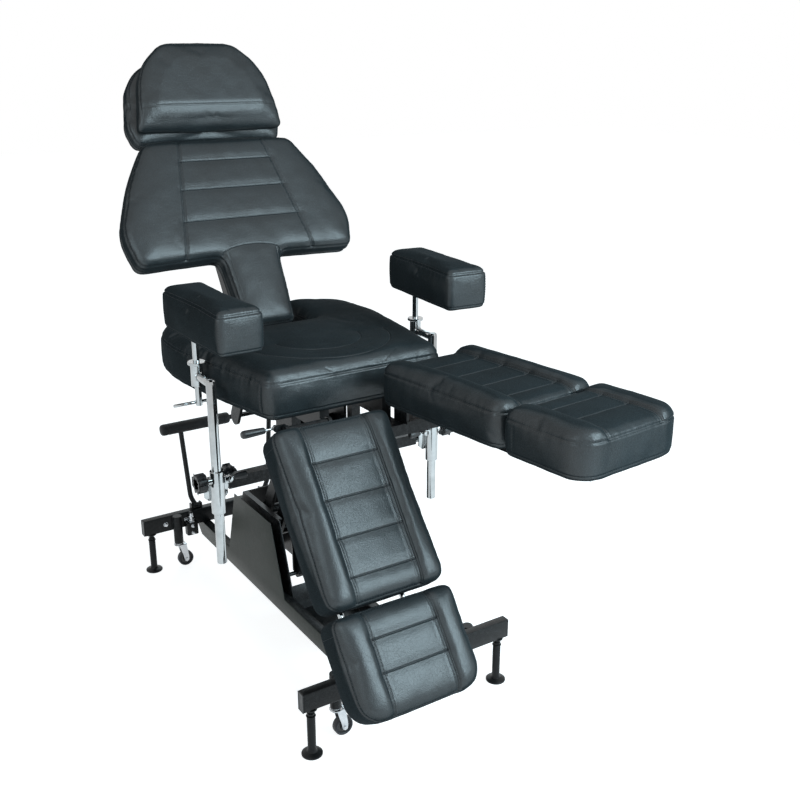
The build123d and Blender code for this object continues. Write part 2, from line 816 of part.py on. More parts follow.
def seat_frame():
    """The welded frame under the seat, and the pins of its four pivots."""
    top = seat_rail_bottom + seat_rail_height
    inner = seat_rail_half - seat_rail_width
    plate = inner + hanger_plate
    outer = seat_rail_half + hanger_plate
    rail = slab(inner, seat_rail_half, seat_rail_front, seat_rail_rear, seat_rail_bottom, top)
    rail += flat_link((seat_rail_rear - seat_rail_eye, recline_hinge_z), recline_hinge, seat_rail_eye, inner,
                      seat_rail_half)
    for point in (lower_seat, upper_seat):
        rail += flat_link(point, (point[0], seat_rail_bottom + hanger_width / 2), hanger_width, inner, plate)
    rail += flat_link(lower_seat, upper_seat, hanger_width, inner, plate)
    rail += flat_link(strut_foot, (recline_hinge_y - recline_plate_run, recline_hinge_z), recline_plate_width,
                      seat_rail_half, outer)
    frame = both(rail)
    bar_bottom = seat_rail_bottom - seat_front_bar_height
    bar_rear = seat_front_bar_front + seat_front_bar_depth
    frame += slab(-seat_front_bar_half, seat_front_bar_half, seat_front_bar_front, bar_rear, bar_bottom,
                  seat_rail_bottom)
    frame += slab(-seat_rail_half, seat_rail_half, bar_rear, seat_front_web_rear, bar_bottom, seat_rail_bottom)
    frame += slab(-inner, inner, seat_mid_bar_y, seat_mid_bar_y + seat_mid_bar_depth, seat_rail_bottom, top)
    frame -= both(post(leg_x, 0, bar_bottom - overrun, seat_rail_bottom + overrun,
                       swing_pin_diameter + 2 * run_gap))
    pins = [cross_rod(-plate, plate, *point, diameter) for point, diameter in seat_pivots]
    pins.append(cross_rod(-seat_rail_half, seat_rail_half, *recline_hinge, recline_pin_diameter))
    pins.append(cross_rod(-outer, outer, *strut_foot, strut_pin_diameter))
    for pin in pins:
        frame -= pin
    return [frame] + pins


def seat_cushion():
    """The seat cushion: round lobes, a notch for the backrest and two sewn arcs."""
    half = [
        (seat_front_half, seat_front_y, seat_front_round),
        (seat_side_half, seat_side_y, seat_side_round),
        (seat_wide_half, seat_wide_y, seat_wide_round),
        (seat_rear_half, seat_rear_y, seat_rear_round),
        (seat_tail_half, seat_tail_y, seat_tail_round),
        (seat_notch_half, seat_tail_y, seat_notch_lip_round),
        (seat_notch_half, seat_notch_front, seat_notch_round),
    ]
    pad = padded(both_halves(half), seat_edge_thickness, seat_crown, seat_crown_inset)
    top = seat_edge_thickness + seat_crown
    for radius in seat_arc_radii:
        ring = Cylinder(radius, 2 * seam_depth) - Cylinder(radius - seam_width, 3 * seam_depth)
        ring -= Pos(0, radius, 0) * Box(3 * radius, 2 * radius, 3 * seam_depth)
        pad -= Pos(0, seat_arc_centre_y, top) * ring
    return Pos(0, 0, seat_cushion_bottom) * pad


def armrest_bar():
    """The square tube across the chair, with two hangers up to the seat rails."""
    rear = arm_bar_front + arm_bar_size
    top = arm_bar_bottom + arm_bar_size
    bar = slab(-arm_bar_half, arm_bar_half, arm_bar_front, rear, arm_bar_bottom, top)
    bar += both(slab(seat_rail_half - seat_rail_width, seat_rail_half, arm_bar_front,
                     arm_bar_front + seat_rail_width, top, seat_rail_bottom))
    bar -= slab(-arm_bar_half - overrun, arm_bar_half + overrun, arm_bar_front + arm_bar_wall, rear - arm_bar_wall,
                arm_bar_bottom + arm_bar_wall, top - arm_bar_wall)
    return bar - both(rod((slide_knob_x, rear - arm_bar_wall - overrun, slide_knob_z),
                          (slide_knob_x, rear + overrun, slide_knob_z), knob_stud_diameter + 2 * run_gap))


def arm_slider():
    """The inner bar that slides in the armrest bar, its end plate and the upright sleeve."""
    reach = (arm_bar_size - 2 * arm_bar_wall) / 2 - slide_gap
    bar_y = arm_bar_front + arm_bar_size / 2
    bar_z = arm_bar_bottom + arm_bar_size / 2
    outer_x = arm_x + slider_plate_reach
    plate_front = arm_tube_y + arm_tube_diameter / 2 + slide_gap
    slider = slab(inner_bar_start, outer_x, bar_y - reach, bar_y + reach, bar_z - reach, bar_z + reach)
    plate = slab(arm_bar_half + slider_plate_gap, outer_x, plate_front, plate_front + slider_plate,
                 bar_z - slider_plate_height / 2, bar_z + slider_plate_height / 2)
    slider += chamfer(plate.edges().filter_by(Axis.Y), slider_plate_chamfer)
    slider += slab(arm_x - sleeve_diameter / 2, arm_x + sleeve_diameter / 2, plate_front, bar_y,
                   bar_z - reach, bar_z + reach)
    slider += post(arm_x, arm_tube_y, sleeve_bottom, sleeve_bottom + sleeve_length, sleeve_diameter)
    slider += cross_rod(arm_x, arm_x + sleeve_boss_reach, arm_tube_y, height_knob_z, sleeve_boss_diameter)
    lug_rear = catch_y - catch_eye_width / 2 - slide_gap
    lug = rod((catch_x, lug_rear - catch_eye_width, catch_z), (catch_x, lug_rear, catch_z), catch_eye_diameter)
    lug += slab(catch_x, arm_x, lug_rear - catch_eye_width, lug_rear, catch_z - catch_eye_diameter / 2,
                catch_z + catch_eye_diameter / 2)
    lug += rod((catch_x, lug_rear, catch_z), (catch_x, catch_y + catch_eye_width / 2, catch_z), catch_pin_diameter)
    slider += lug
    slider -= post(arm_x, arm_tube_y, sleeve_bottom - overrun, sleeve_bottom + sleeve_length + overrun,
                   arm_tube_diameter + 2 * run_gap)
    return slider - cross_rod(arm_x, arm_x + sleeve_boss_reach + overrun, arm_tube_y, height_knob_z,
                              knob_stud_diameter + 2 * run_gap)


post_y = arm_tube_y + arm_offset


def arm_tube():
    """The upright tube, its short link back and the socket for the pad's post."""
    tube = post(arm_x, arm_tube_y, arm_tube_bottom, arm_elbow_z, arm_tube_diameter)
    tube += Pos(arm_x, arm_tube_y, arm_elbow_z) * Sphere(arm_tube_diameter / 2)
    tube += rod((arm_x, arm_tube_y, arm_elbow_z), (arm_x, post_y, arm_elbow_z), arm_link_diameter)
    top = arm_socket_bottom + arm_socket_length
    tube += post(arm_x, post_y, arm_socket_bottom, top, arm_socket_diameter)
    tube += post(arm_x, post_y, top - arm_socket_flange_height, top, arm_socket_flange_diameter)
    return tube - post(arm_x, post_y, arm_socket_bottom - overrun, top + overrun, arm_post_diameter + 2 * run_gap)


def toed(solid, toe):
    """A piece turned inwards about the post by an angle."""
    return Pos(arm_x, post_y, 0) * Rot(0, 0, -toe) * Pos(-arm_x, -post_y, 0) * solid


def arm_post(toe):
    """The pad's post with its mounting plate, and the tommy bar through its foot."""
    tommy_z = arm_post_foot_z + tommy_rise
    low = arm_x - tommy_length / 2 + tommy_offset
    tommy = cross_rod(low, low + tommy_length, post_y, tommy_z, tommy_diameter)
    pillar = post(arm_x, post_y, arm_post_foot_z, arm_pad_bottom, arm_post_diameter) - tommy
    half = arm_plate_width / 2
    plate = slab(arm_x - half, arm_x + half, post_y + arm_plate_rear - arm_plate_length,
                 post_y + arm_plate_rear, arm_pad_bottom - arm_plate_thickness, arm_pad_bottom)
    return [pillar + toed(plate, toe), tommy]


def arm_pad(toe):
    """One armrest pad."""
    half = [(arm_pad_width / 2, 0, arm_pad_round), (arm_pad_width / 2, arm_pad_length, arm_pad_round)]
    pad = padded(both_halves(half), arm_pad_thickness, arm_pad_crown, arm_pad_crown_inset)
    return toed(Pos(arm_x, arm_pad_front, arm_pad_bottom) * pad, toe)


def height_knob():
    """The knob that locks the tube in its sleeve."""
    knob = fluted_knob(height_knob_diameter, height_knob_length, height_knob_out - slide_gap)
    face_x = arm_x + arm_tube_diameter / 2 + height_knob_out
    return Pos(face_x, arm_tube_y, height_knob_z) * Rot(0, 90, 0) * knob


def slide_knob():
    """The knob behind the armrest bar that locks the slide."""
    knob = fluted_knob(slide_knob_diameter, slide_knob_length, slide_knob_out)
    face_y = arm_bar_front + arm_bar_size - arm_bar_wall + slide_knob_out
    return Pos(slide_knob_x, face_y, slide_knob_z) * Rot(-90, 0, 0) * knob


def arm_catch():
    """The small lever beside the sleeve, hung on the slider's cross pin."""
    half = catch_eye_width / 2
    catch = rod((catch_x, catch_y - half, catch_z), (catch_x, catch_y + half, catch_z), catch_eye_diameter)
    grip_x = catch_x - catch_grip_start
    catch += cross_rod(grip_x, catch_x, catch_y, catch_z, catch_rod_diameter)
    catch += cross_rod(grip_x - catch_grip_length, grip_x, catch_y, catch_z, catch_grip_diameter)
    return catch - rod((catch_x, catch_y - half - overrun, catch_z), (catch_x, catch_y + half + overrun, catch_z),
                       catch_pin_diameter + 2 * run_gap)


back_place = Pos(0, recline_hinge_y, recline_hinge_z) * Rot(back_lean, 0, 0)
head_pin = back_place * Pos(0, head_pin_up, head_pin_back)
head_place = Pos(head_pin.position) * Rot(90 - head_angle, 0, 0)


def backrest_frame():
    """Two flat uprights, their ties, the guide block of the headrest slide and the strut pin."""
    inner = back_bar_half - back_bar_plate
    upright = flat_link((0, 0), (back_bar_end, 0), back_bar_width, inner, back_bar_half)
    frame = both(upright)
    for start in (back_tie_low, back_tie_high):
        frame += slab(-back_tie_half, back_tie_half, start, start + back_tie_height,
                      back_rear_face - back_tie_depth, back_rear_face)
    guide_rear = head_pin_back - head_slide_width / 2 - head_guide_wall
    frame += slab(-inner, inner, head_guide_start, head_guide_start + head_guide_height, guide_rear,
                  back_rear_face - back_tie_depth)
    half_width = head_slide_width / 2 + slide_gap
    frame -= both(slab(head_slide_half - head_slide_plate - slide_gap, head_slide_half + slide_gap,
                       head_guide_start - overrun, head_guide_start + head_guide_height + overrun,
                       head_pin_back - half_width, head_pin_back + half_width))
    frame += cross_rod(-inner, inner, strut_reach, 0, strut_pin_diameter)
    frame -= cross_rod(-back_bar_half - overrun, back_bar_half + overrun, 0, 0, recline_pin_diameter + 2 * run_gap)
    return back_place * frame


def back_cushion():
    """The backrest cushion: wings, a neck down to the hinge, and its sewn channels."""
    half = [
        (back_neck_foot_half, back_neck_foot, back_neck_foot_round),
        (back_neck_half, back_neck_top, back_neck_round),
        (back_wing_half, back_wing_foot, back_wing_round),
        (back_wide_half, back_wide, back_wide_round),
        (back_side_half, back_side, back_side_round),
        (back_shoulder_half, back_top, back_shoulder_round),
    ]
    pad = padded(both_halves(half), back_edge_thickness, back_crown, back_crown_inset)
    top = back_edge_thickness + back_crown
    spread = (channel_foot_half - channel_top_half) / (channel_top - channel_foot)
    pad -= both(seam((channel_top_half, channel_top), (channel_foot_half, channel_foot), top))
    for place in channel_places:
        reach = channel_top_half + (channel_top - place) * spread
        pad -= seam((-reach, place), (reach, place), top)
    return back_place * Pos(0, 0, back_rear_face) * pad


def strut_body():
    """The recline strut's body, with the eye at its foot."""
    body = cylinder_body(strut_foot, strut_head, strut_body_diameter, strut_body_length, strut_rod_diameter,
                         strut_bore_floor)
    tube, bore = eye(strut_foot, strut_eye_diameter, strut_eye_width, strut_pin_diameter)
    return body + tube - bore


def strut_rod():
    """The recline strut's rod, with the eye at its head."""
    shank = rod(along_line(strut_head, strut_foot, strut_rod_length), (0, *strut_head), strut_rod_diameter)
    tube, bore = eye(strut_head, strut_eye_diameter, strut_eye_width, strut_pin_diameter)
    return shank + tube - bore


def headrest_slide():
    """Two flat bars that slide in the backrest's guide block, joined by a tube, bored for the tilt pin."""
    inner = head_slide_half - head_slide_plate
    start = head_pin_up - head_slide_length
    bar = flat_link((start, head_pin_back), (head_pin_up, head_pin_back), head_slide_width, inner,
                    head_slide_half)
    slide = both(bar) + cross_rod(-inner, inner, head_pin_up - head_slide_tie, head_pin_back, head_slide_plate)
    return back_place * (slide - cross_rod(-head_slide_half - overrun, head_slide_half + overrun, head_pin_up,
                                           head_pin_back, head_pin_diameter + 2 * run_gap))


def headrest_bracket():
    """The tilting bracket: its pin, two ears and the plate behind the cushion."""
    inner = head_ear_half - head_slide_plate
    width = head_slide_width
    ear = flat_link((0, 0), (head_ear_height, 0), width, inner, head_ear_half)
    ear += slab(inner, head_ear_half, head_plate_start, head_ear_height, 0, head_cushion_back)
    bracket = both(ear) + slab(-head_plate_half, head_plate_half, head_plate_start,
                               head_plate_start + head_plate_height, head_cushion_back - head_plate_thickness,
                               head_cushion_back)
    return head_place * (bracket + cross_rod(-head_slide_half, head_slide_half, 0, 0, head_pin_diameter))


def headrest_cushion():
    """The headrest's rear cushion."""
    half = [
        (head_foot_half, head_foot, head_foot_round),
        (head_wide_half, head_wide, head_wide_round),
        (head_shoulder_half, head_shoulder, head_shoulder_round),
        (head_top_half, head_top, head_top_round),
    ]
    pad = padded(both_halves(half), head_edge_thickness, head_crown, head_crown_inset)
    return head_place * Pos(0, 0, head_cushion_back) * pad


def headrest_pillow():
    """The raised pillow on the front of the headrest, with its sewn line above the foot."""
    half = [
        (pillow_foot_half, pillow_foot, pillow_foot_round),
        (pillow_shoulder_half, pillow_shoulder, pillow_shoulder_round),
        (pillow_top_half, pillow_top, pillow_top_round),
    ]
    pad = padded(both_halves(half), pillow_thickness, pillow_crown, pillow_crown_inset)
    top = pillow_thickness + pillow_crown
    pad -= seam((-pillow_seam_half, pillow_seam), (pillow_seam_half, pillow_seam), top)
    return head_place * Pos(0, 0, head_cushion_back + head_edge_thickness + head_crown) * pad


def leg_bracket():
    """The swing bracket of one leg rest: plate, ears, upright pin, hinge pin and lever lug."""
    bottom = seat_rail_bottom - hinge_z + slide_gap
    ear_in = swing_plate_half - leg_ear_plate
    bracket = slab(-swing_plate_half, swing_plate_half, swing_plate_front, swing_plate_rear, bottom,
                   bottom + swing_plate)
    ear = slab(ear_in, swing_plate_half, -leg_ear_half, swing_plate_rear, bottom, 0)
    ear += cross_rod(ear_in, swing_plate_half, 0, 0, 2 * leg_ear_half)
    bracket += both(ear)
    bracket += cross_rod(-swing_plate_half, swing_plate_half, 0, 0, leg_pin_diameter)
    bar_foot = seat_rail_bottom - seat_front_bar_height - hinge_z - slide_gap
    bracket += post(0, 0, bar_foot, bottom + swing_plate, swing_pin_diameter)
    bracket += post(0, 0, bar_foot - swing_pin_head, bar_foot, swing_pin_head_diameter)
    lever_z = lock_z - hinge_z
    lug_rear = lock_y - lock_eye_width / 2 - slide_gap
    pin_x = swing_plate_half + lock_pin_out
    lug = rod((pin_x, lug_rear - lock_lug_plate, lever_z), (pin_x, lug_rear, lever_z), lock_eye_diameter)
    lug += slab(ear_in, pin_x, lug_rear - lock_lug_plate, lug_rear, lever_z - lock_eye_diameter / 2,
                lever_z + lock_eye_diameter / 2)
    lug += rod((pin_x, lug_rear, lever_z), (pin_x, lock_y + lock_eye_width / 2, lever_z), lock_pin_diameter)
    return bracket + lug


def lock_lever():
    """The leg lock lever: eye, rod and round grip, pointing outwards."""
    half = lock_eye_width / 2
    pin_x = swing_plate_half + lock_pin_out
    lever_z = lock_z - hinge_z
    grip_x = pin_x + lock_rod_length
    lever = rod((pin_x, lock_y - half, lever_z), (pin_x, lock_y + half, lever_z), lock_eye_diameter)
    lever += cross_rod(pin_x, grip_x, lock_y, lever_z, lock_rod_diameter)
    grip = cross_rod(grip_x, grip_x + lock_grip_length, lock_y, lever_z, lock_grip_diameter)
    lever += fillet(grip.edges(), lock_grip_round)
    return lever - rod((pin_x, lock_y - half - overrun, lever_z), (pin_x, lock_y + half + overrun, lever_z),
                       lock_pin_diameter + 2 * run_gap)


def leg_frame():
    """The welded leg frame: hinge barrel, necks, tie and two bored square rails."""
    barrel = swing_plate_half - leg_ear_plate - slide_gap
    frame = cross_rod(-barrel, barrel, 0, 0, leg_barrel_diameter)
    frame += both(slab(leg_neck_inner, leg_neck_outer, -leg_neck_length, 0, leg_neck_low, leg_neck_high))
    low = calf_underside - leg_rail_size
    frame += slab(-leg_rail_half, leg_rail_half, -leg_rail_start - leg_tie_depth, -leg_rail_start, low,
                  calf_underside)
    frame += both(slab(leg_rail_half - leg_rail_size, leg_rail_half, -leg_rail_end, -leg_rail_start, low,
                       calf_underside))
    frame -= cross_rod(-barrel - overrun, barrel + overrun, 0, 0, leg_pin_diameter + 2 * run_gap)
    return frame - both(foot_rod(leg_rail_start + leg_tie_depth, leg_rail_end + overrun, 2 * run_gap))


def foot_rod(start, end, extra):
    """One guide rod of the foot pad, or its bore."""
    x = leg_rail_half - leg_rail_size / 2
    z = calf_underside - leg_rail_size / 2
    return rod((x, -end, z), (x, -start, z), foot_rod_diameter + extra)


foot_start = calf_start + calf_length + foot_pad_gap


def foot_slide():
    """The foot pad's two guide rods and the plate across them."""
    slide = both(foot_rod(foot_rod_start, foot_rod_end, 0))
    return slide + slab(-foot_plate_half, foot_plate_half, foot_plate_margin - foot_start - foot_pad_length,
                        -foot_start - foot_plate_margin, calf_underside - foot_plate, calf_underside)


def leg_pad(start, length, near_round, far_round, cross_seams):
    """A calf or foot pad with its long seams and cross seams."""
    half = [(calf_width / 2, -start - length, far_round), (calf_width / 2, -start, near_round)]
    pad = padded(both_halves(half), calf_edge_thickness, calf_crown, calf_crown_inset)
    top = calf_edge_thickness + calf_crown
    near = -start - leg_seam_margin
    far = leg_seam_margin - start - length
    pad -= both(seam((leg_seam_half, far), (leg_seam_half, near), top))
    for place in cross_seams:
        y = -start - place
        pad -= seam((-leg_seam_half, y), (leg_seam_half, y), top)
    return Pos(0, 0, calf_underside) * pad


def calf_pad():
    """The long pad next to the seat."""
    return leg_pad(calf_start, calf_length, calf_near_round, calf_far_round, calf_seam_places)


def foot_pad():
    """The short pad at the end, with its round toe."""
    return leg_pad(foot_start, foot_pad_length, foot_near_round, foot_far_round, foot_seam_places)


swing_places = {
    "left": Pos(leg_x, 0, hinge_z) * Rot(0, 0, left_leg_splay),
    "right": Pos(leg_x, 0, hinge_z) * Rot(0, 0, right_leg_splay),
}
leg_places = {
    "left": swing_places["left"] * Rot(left_leg_drop, 0, 0),
    "right": swing_places["right"] * Rot(right_leg_drop, 0, 0),
}


def solids(made):
    """All solids of a made piece, or of a list of pieces."""
    if isinstance(made, list):
        return [solid for piece in made for solid in piece.solids()]
    return list(made.solids())


def base_nodes():
    """Every node that stands on the floor."""
    nodes = {
        "crossbars": crossbars(),
        "base_rails": base_rails(),
        "end_caps": end_caps(),
        "lift_housing": lift_housing(),
        "pump_unit": pump_unit(),
        "pump_lever": pump_lever(),
        "pump_grip": pump_grip(),
    }
    for row, y_low, socket_y in (("front", front_bar_y, front_socket_y), ("rear", rear_bar_y, rear_socket_y)):
        for side, sign in (("left", 1), ("right", -1)):
            nodes[f"levelling_foot_{row}_{side}"] = levelling_foot(sign * foot_x, y_low)
            nodes[f"caster_fork_{row}_{side}"] = caster_fork(sign * caster_x, socket_y)
            nodes[f"caster_wheel_{row}_{side}"] = caster_wheel(sign * caster_x, socket_y)
    return nodes


def body_nodes():
    """The lift, the seat, the backrest and the headrest."""
    return {
        "lift_arm_lower": lower_arm(),
        "lift_arm_upper": upper_arm(),
        "lift_cylinder": lift_cylinder(),
        "lift_rod": lift_rod(),
        "seat_frame": seat_frame(),
        "seat_cushion": seat_cushion(),
        "armrest_bar": armrest_bar(),
        "backrest_frame": backrest_frame(),
        "backrest_cushion": back_cushion(),
        "recline_strut_body": strut_body(),
        "recline_strut_rod": strut_rod(),
        "headrest_slide": headrest_slide(),
        "headrest_bracket": headrest_bracket(),
        "headrest_cushion": headrest_cushion(),
        "headrest_pillow": headrest_pillow(),
    }


def side_nodes(side, toe, lift):
    """The leg rest and the armrest of one side, made on +X."""
    leg = leg_places[side]
    swing = swing_places[side]
    rise = Pos(0, 0, lift)
    return {
        f"leg_bracket_{side}": swing * leg_bracket(),
        f"leg_lock_lever_{side}": swing * lock_lever(),
        f"leg_frame_{side}": leg * leg_frame(),
        f"calf_pad_{side}": leg * calf_pad(),
        f"foot_slide_{side}": leg * foot_slide(),
        f"foot_pad_{side}": leg * foot_pad(),
        f"armrest_slider_{side}": arm_slider(),
        f"armrest_tube_{side}": rise * arm_tube(),
        f"armrest_post_{side}": [rise * piece for piece in arm_post(toe)],
        f"armrest_pad_{side}": rise * arm_pad(toe),
        f"armrest_height_knob_{side}": height_knob(),
        f"armrest_slide_knob_{side}": slide_knob(),
        f"armrest_catch_{side}": arm_catch(),
    }


def main():
    """Make every node and write one file for each."""
    os.makedirs("parts", exist_ok=True)
    nodes = {**base_nodes(), **body_nodes(), **side_nodes("left", left_pad_toe, arm_left_lift)}
    for name, made in side_nodes("right", right_pad_toe, 0).items():
        nodes[name] = [mirrored(solid) for solid in solids(made)]
    for name, made in nodes.items():
        placed = [Pos(0, frame_shift, 0) * solid for solid in solids(made)]
        export_step(placed[0] if len(placed) == 1 else Compound(children=placed), f"parts/{name}.step")


main()
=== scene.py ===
"""Tattoo chair: its upholstery, chromed armrests, lift and welded base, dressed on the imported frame."""
import logging
import math
from collections.abc import Callable, Iterator, Sequence
from contextlib import contextmanager
from dataclasses import dataclass
from enum import Enum

import bmesh
import bpy
import numpy as np
from mathutils import Matrix, Vector, noise
from mathutils.bvhtree import BVHTree


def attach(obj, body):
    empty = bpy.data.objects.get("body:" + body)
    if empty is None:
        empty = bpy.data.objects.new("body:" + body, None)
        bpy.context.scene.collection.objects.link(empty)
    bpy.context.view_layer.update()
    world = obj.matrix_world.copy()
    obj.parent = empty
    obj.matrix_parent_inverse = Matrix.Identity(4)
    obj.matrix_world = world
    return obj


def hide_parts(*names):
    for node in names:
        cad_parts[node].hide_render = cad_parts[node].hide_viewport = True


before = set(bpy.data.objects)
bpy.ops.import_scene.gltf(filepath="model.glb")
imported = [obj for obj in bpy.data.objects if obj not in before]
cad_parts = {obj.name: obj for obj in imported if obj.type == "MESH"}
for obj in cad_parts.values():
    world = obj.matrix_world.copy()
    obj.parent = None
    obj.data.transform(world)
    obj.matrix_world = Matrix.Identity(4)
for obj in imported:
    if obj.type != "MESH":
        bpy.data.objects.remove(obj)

LOG = logging.getLogger("tattoo_chair")
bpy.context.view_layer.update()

# Millimetres, counted along Y from the leg hinge line. The sitter faces -Y, so the sitter's left is +X.
MM = 0.001
FRAME_SHIFT = -164.8
TO_FRAME = Matrix.Scale(MM, 4) @ Matrix.Translation((0, FRAME_SHIFT, 0))

Point = tuple[float, float, float]
Corner = tuple[float, float, float]
Colour = tuple[float, float, float]

# Metalwork: points closer than this, in millimetres, are one, and corners above this angle stay crisp.
WELD_DISTANCE = 0.002
CRISP_ANGLE = 34.0

# Upholstery, in millimetres: how far a thread lies from its seam, how wide the valley round a seam is, how
# far from the seams the mesh is refined, and the lengths of the cover's broad waves and of its puckers.
STITCH_GAP = 3.6
VALLEY_WIDTH = 12.0
REFINE_REACHES = (8.0, 5.6)
WAVE_LENGTH = 34.0
PUCKER_LENGTH = 11.0
CLOTH_STEPS = 20

# Shares of a pad's height: the board holds the cover below the first, the face is dished above the second.
BOARD_SHARE = 0.1
FACE_SHARE = 0.55

# One stitch, in metres: its half sizes, its lift off the cover and how far the cover may lie from its start.
STITCH_SIZE = (0.0021, 0.00055, 0.0005)
STITCH_LIFT = 0.00015
STITCH_REACH = 0.09


class Side(Enum):
    """The sitter's two sides, as the name of the side and its direction along X."""

    LEFT = ("left", 1.0)
    RIGHT = ("right", -1.0)

    @property
    def label(self) -> str:
        """The side's name, as the frame's nodes and bodies end in it."""
        return self.value[0]

    @property
    def sign(self) -> float:
        """1 towards +X, -1 towards -X."""
        return self.value[1]


# The armrests: how far out and how far back their posts stand, and each side's lift and inward turn.
ARM_X = 312.0
ARM_POST_Y = 262.0
ARM_LIFTS = {Side.LEFT: 20.0, Side.RIGHT: 0.0}
ARM_TOES = {Side.LEFT: 4.8, Side.RIGHT: 1.2}

# The leg rests, in the pose of the photograph: how far each is let down and swung outwards, in degrees.
LEG_DROPS = {Side.LEFT: -1.0, Side.RIGHT: 52.5}
LEG_SPLAYS = {Side.LEFT: 4.8, Side.RIGHT: 0.0}


# ---------------------------------------------------------------- finishes


def add_node(tree: bpy.types.NodeTree, kind: str, sockets: dict | None = None,
             **settings: object) -> bpy.types.Node:
    """Add a shader node.

    Args:
        tree: the node tree that gets it.
        kind: the node's type, without its ShaderNode prefix.
        sockets: values or output sockets for its inputs, by name or number.
        settings: the node's own properties.

    Returns:
        The new node.
    """
    made = tree.nodes.new("ShaderNode" + kind)
    for key, value in settings.items():
        setattr(made, key, value)
    for key, value in (sockets or {}).items():
        if isinstance(value, bpy.types.NodeSocket):
            tree.links.new(value, made.inputs[key])
        else:
            made.inputs[key].default_value = value
    return made


def spread(tree: bpy.types.NodeTree, value: bpy.types.NodeSocket, low: float, high: float,
           to_low: float = 0.0, to_high: float = 1.0) -> bpy.types.NodeSocket:
    """Map a range of values to another, held at both ends."""
    made = add_node(tree, "MapRange", {"Value": value, "From Min": low, "From Max": high, "To Min": to_low,
                                       "To Max": to_high}, clamp=True)
    return made.outputs[0]


def combine(tree: bpy.types.NodeTree, operation: str, *values: object) -> bpy.types.NodeSocket:
    """Join values with one Math operation."""
    return add_node(tree, "Math", dict(enumerate(values)), operation=operation).outputs[0]


class Effect(Enum):
    """The shared surface effects, each a node group with varying outputs."""

    LEATHER = "leather_grain"
    COAT = "powder_coat"
    SMUDGE = "metal_smudge"
    WEAR = "edge_wear"
    DUST = "settled_dust"
    PLASTIC = "moulded_plastic"

    def group(self) -> bpy.types.NodeTree:
        """The effect's node group, made the first time it is asked for."""
        found = bpy.data.node_groups.get(self.value)
        if found:
            return found
        tree = bpy.data.node_groups.new(self.value, "ShaderNodeTree")
        tree.interface.new_socket("Vector", in_out="INPUT", socket_type="NodeSocketVector")
        start = tree.nodes.new("NodeGroupInput").outputs["Vector"]
        end = tree.nodes.new("NodeGroupOutput")
        outputs = _EFFECT_WIRING[self](tree, start)
        for name, value in outputs.items():
            tree.interface.new_socket(name, in_out="OUTPUT", socket_type="NodeSocketFloat")
            tree.links.new(value, end.inputs[name])
        return tree


def _wire_leather(tree: bpy.types.NodeTree, place: bpy.types.NodeSocket) -> dict[str, bpy.types.NodeSocket]:
    """Pebbled grain, fine creases, a mottle of tone and uneven gloss."""
    warp = add_node(tree, "TexNoise", {"Vector": place, "Scale": 60.0, "Detail": 2.0})
    shift = add_node(tree, "VectorMath", {0: warp.outputs["Color"], "Scale": 0.006}, operation="SCALE")
    bent = add_node(tree, "VectorMath", {0: place, 1: shift.outputs[0]}, operation="ADD").outputs[0]
    pebble = add_node(tree, "TexVoronoi", {"Vector": bent, "Scale": 430.0, "Smoothness": 0.4},
                      feature="SMOOTH_F1")
    crease = add_node(tree, "TexVoronoi", {"Vector": bent, "Scale": 120.0}, feature="DISTANCE_TO_EDGE")
    swell = add_node(tree, "TexNoise", {"Vector": place, "Scale": 26.0, "Detail": 4.0, "Roughness": 0.6})
    speckle = add_node(tree, "TexNoise", {"Vector": place, "Scale": 620.0, "Detail": 2.0})
    cloud = add_node(tree, "TexNoise", {"Vector": place, "Scale": 9.0, "Detail": 3.0})
    domes = spread(tree, pebble.outputs["Distance"], 0.0, 0.7, 1.0, 0.0)
    lines = spread(tree, crease.outputs["Distance"], 0.0, 0.05)
    soft = spread(tree, swell.outputs["Fac"], 0.3, 0.7)
    height = combine(tree, "ADD", combine(tree, "MULTIPLY", domes, 0.5),
                     combine(tree, "MULTIPLY", lines, 0.22))
    height = combine(tree, "ADD", height, combine(tree, "MULTIPLY", soft, 0.6))
    dots = spread(tree, speckle.outputs["Fac"], 0.38, 0.66)
    tone = combine(tree, "ADD", combine(tree, "MULTIPLY", dots, 0.65),
                   combine(tree, "MULTIPLY", spread(tree, cloud.outputs["Fac"], 0.3, 0.7), 0.35))
    return {"Height": height, "Tone": tone, "Uneven": soft}


def _wire_coat(tree: bpy.types.NodeTree, place: bpy.types.NodeSocket) -> dict[str, bpy.types.NodeSocket]:
    """Orange-peel skin of sprayed powder, with a little cloudiness."""
    peel = add_node(tree, "TexNoise", {"Vector": place, "Scale": 750.0, "Detail": 2.0})
    cloud = add_node(tree, "TexNoise", {"Vector": place, "Scale": 14.0, "Detail": 4.0})
    return {"Height": peel.outputs["Fac"], "Tone": spread(tree, cloud.outputs["Fac"], 0.3, 0.7),
            "Uneven": spread(tree, peel.outputs["Fac"], 0.35, 0.65)}


def _wire_smudge(tree: bpy.types.NodeTree, place: bpy.types.NodeSocket) -> dict[str, bpy.types.NodeSocket]:
    """Faint handling marks and drawn lines on bright metal."""
    marks = add_node(tree, "TexNoise", {"Vector": place, "Scale": 34.0, "Detail": 5.0, "Roughness": 0.65})
    stretch = add_node(tree, "Mapping", {"Vector": place, "Scale": (1.0, 1.0, 0.04)})
    drawn = add_node(tree, "TexNoise", {"Vector": stretch.outputs[0], "Scale": 900.0, "Detail": 2.0})
    return {"Height": drawn.outputs["Fac"], "Tone": spread(tree, marks.outputs["Fac"], 0.35, 0.7),
            "Uneven": spread(tree, marks.outputs["Fac"], 0.45, 0.75)}


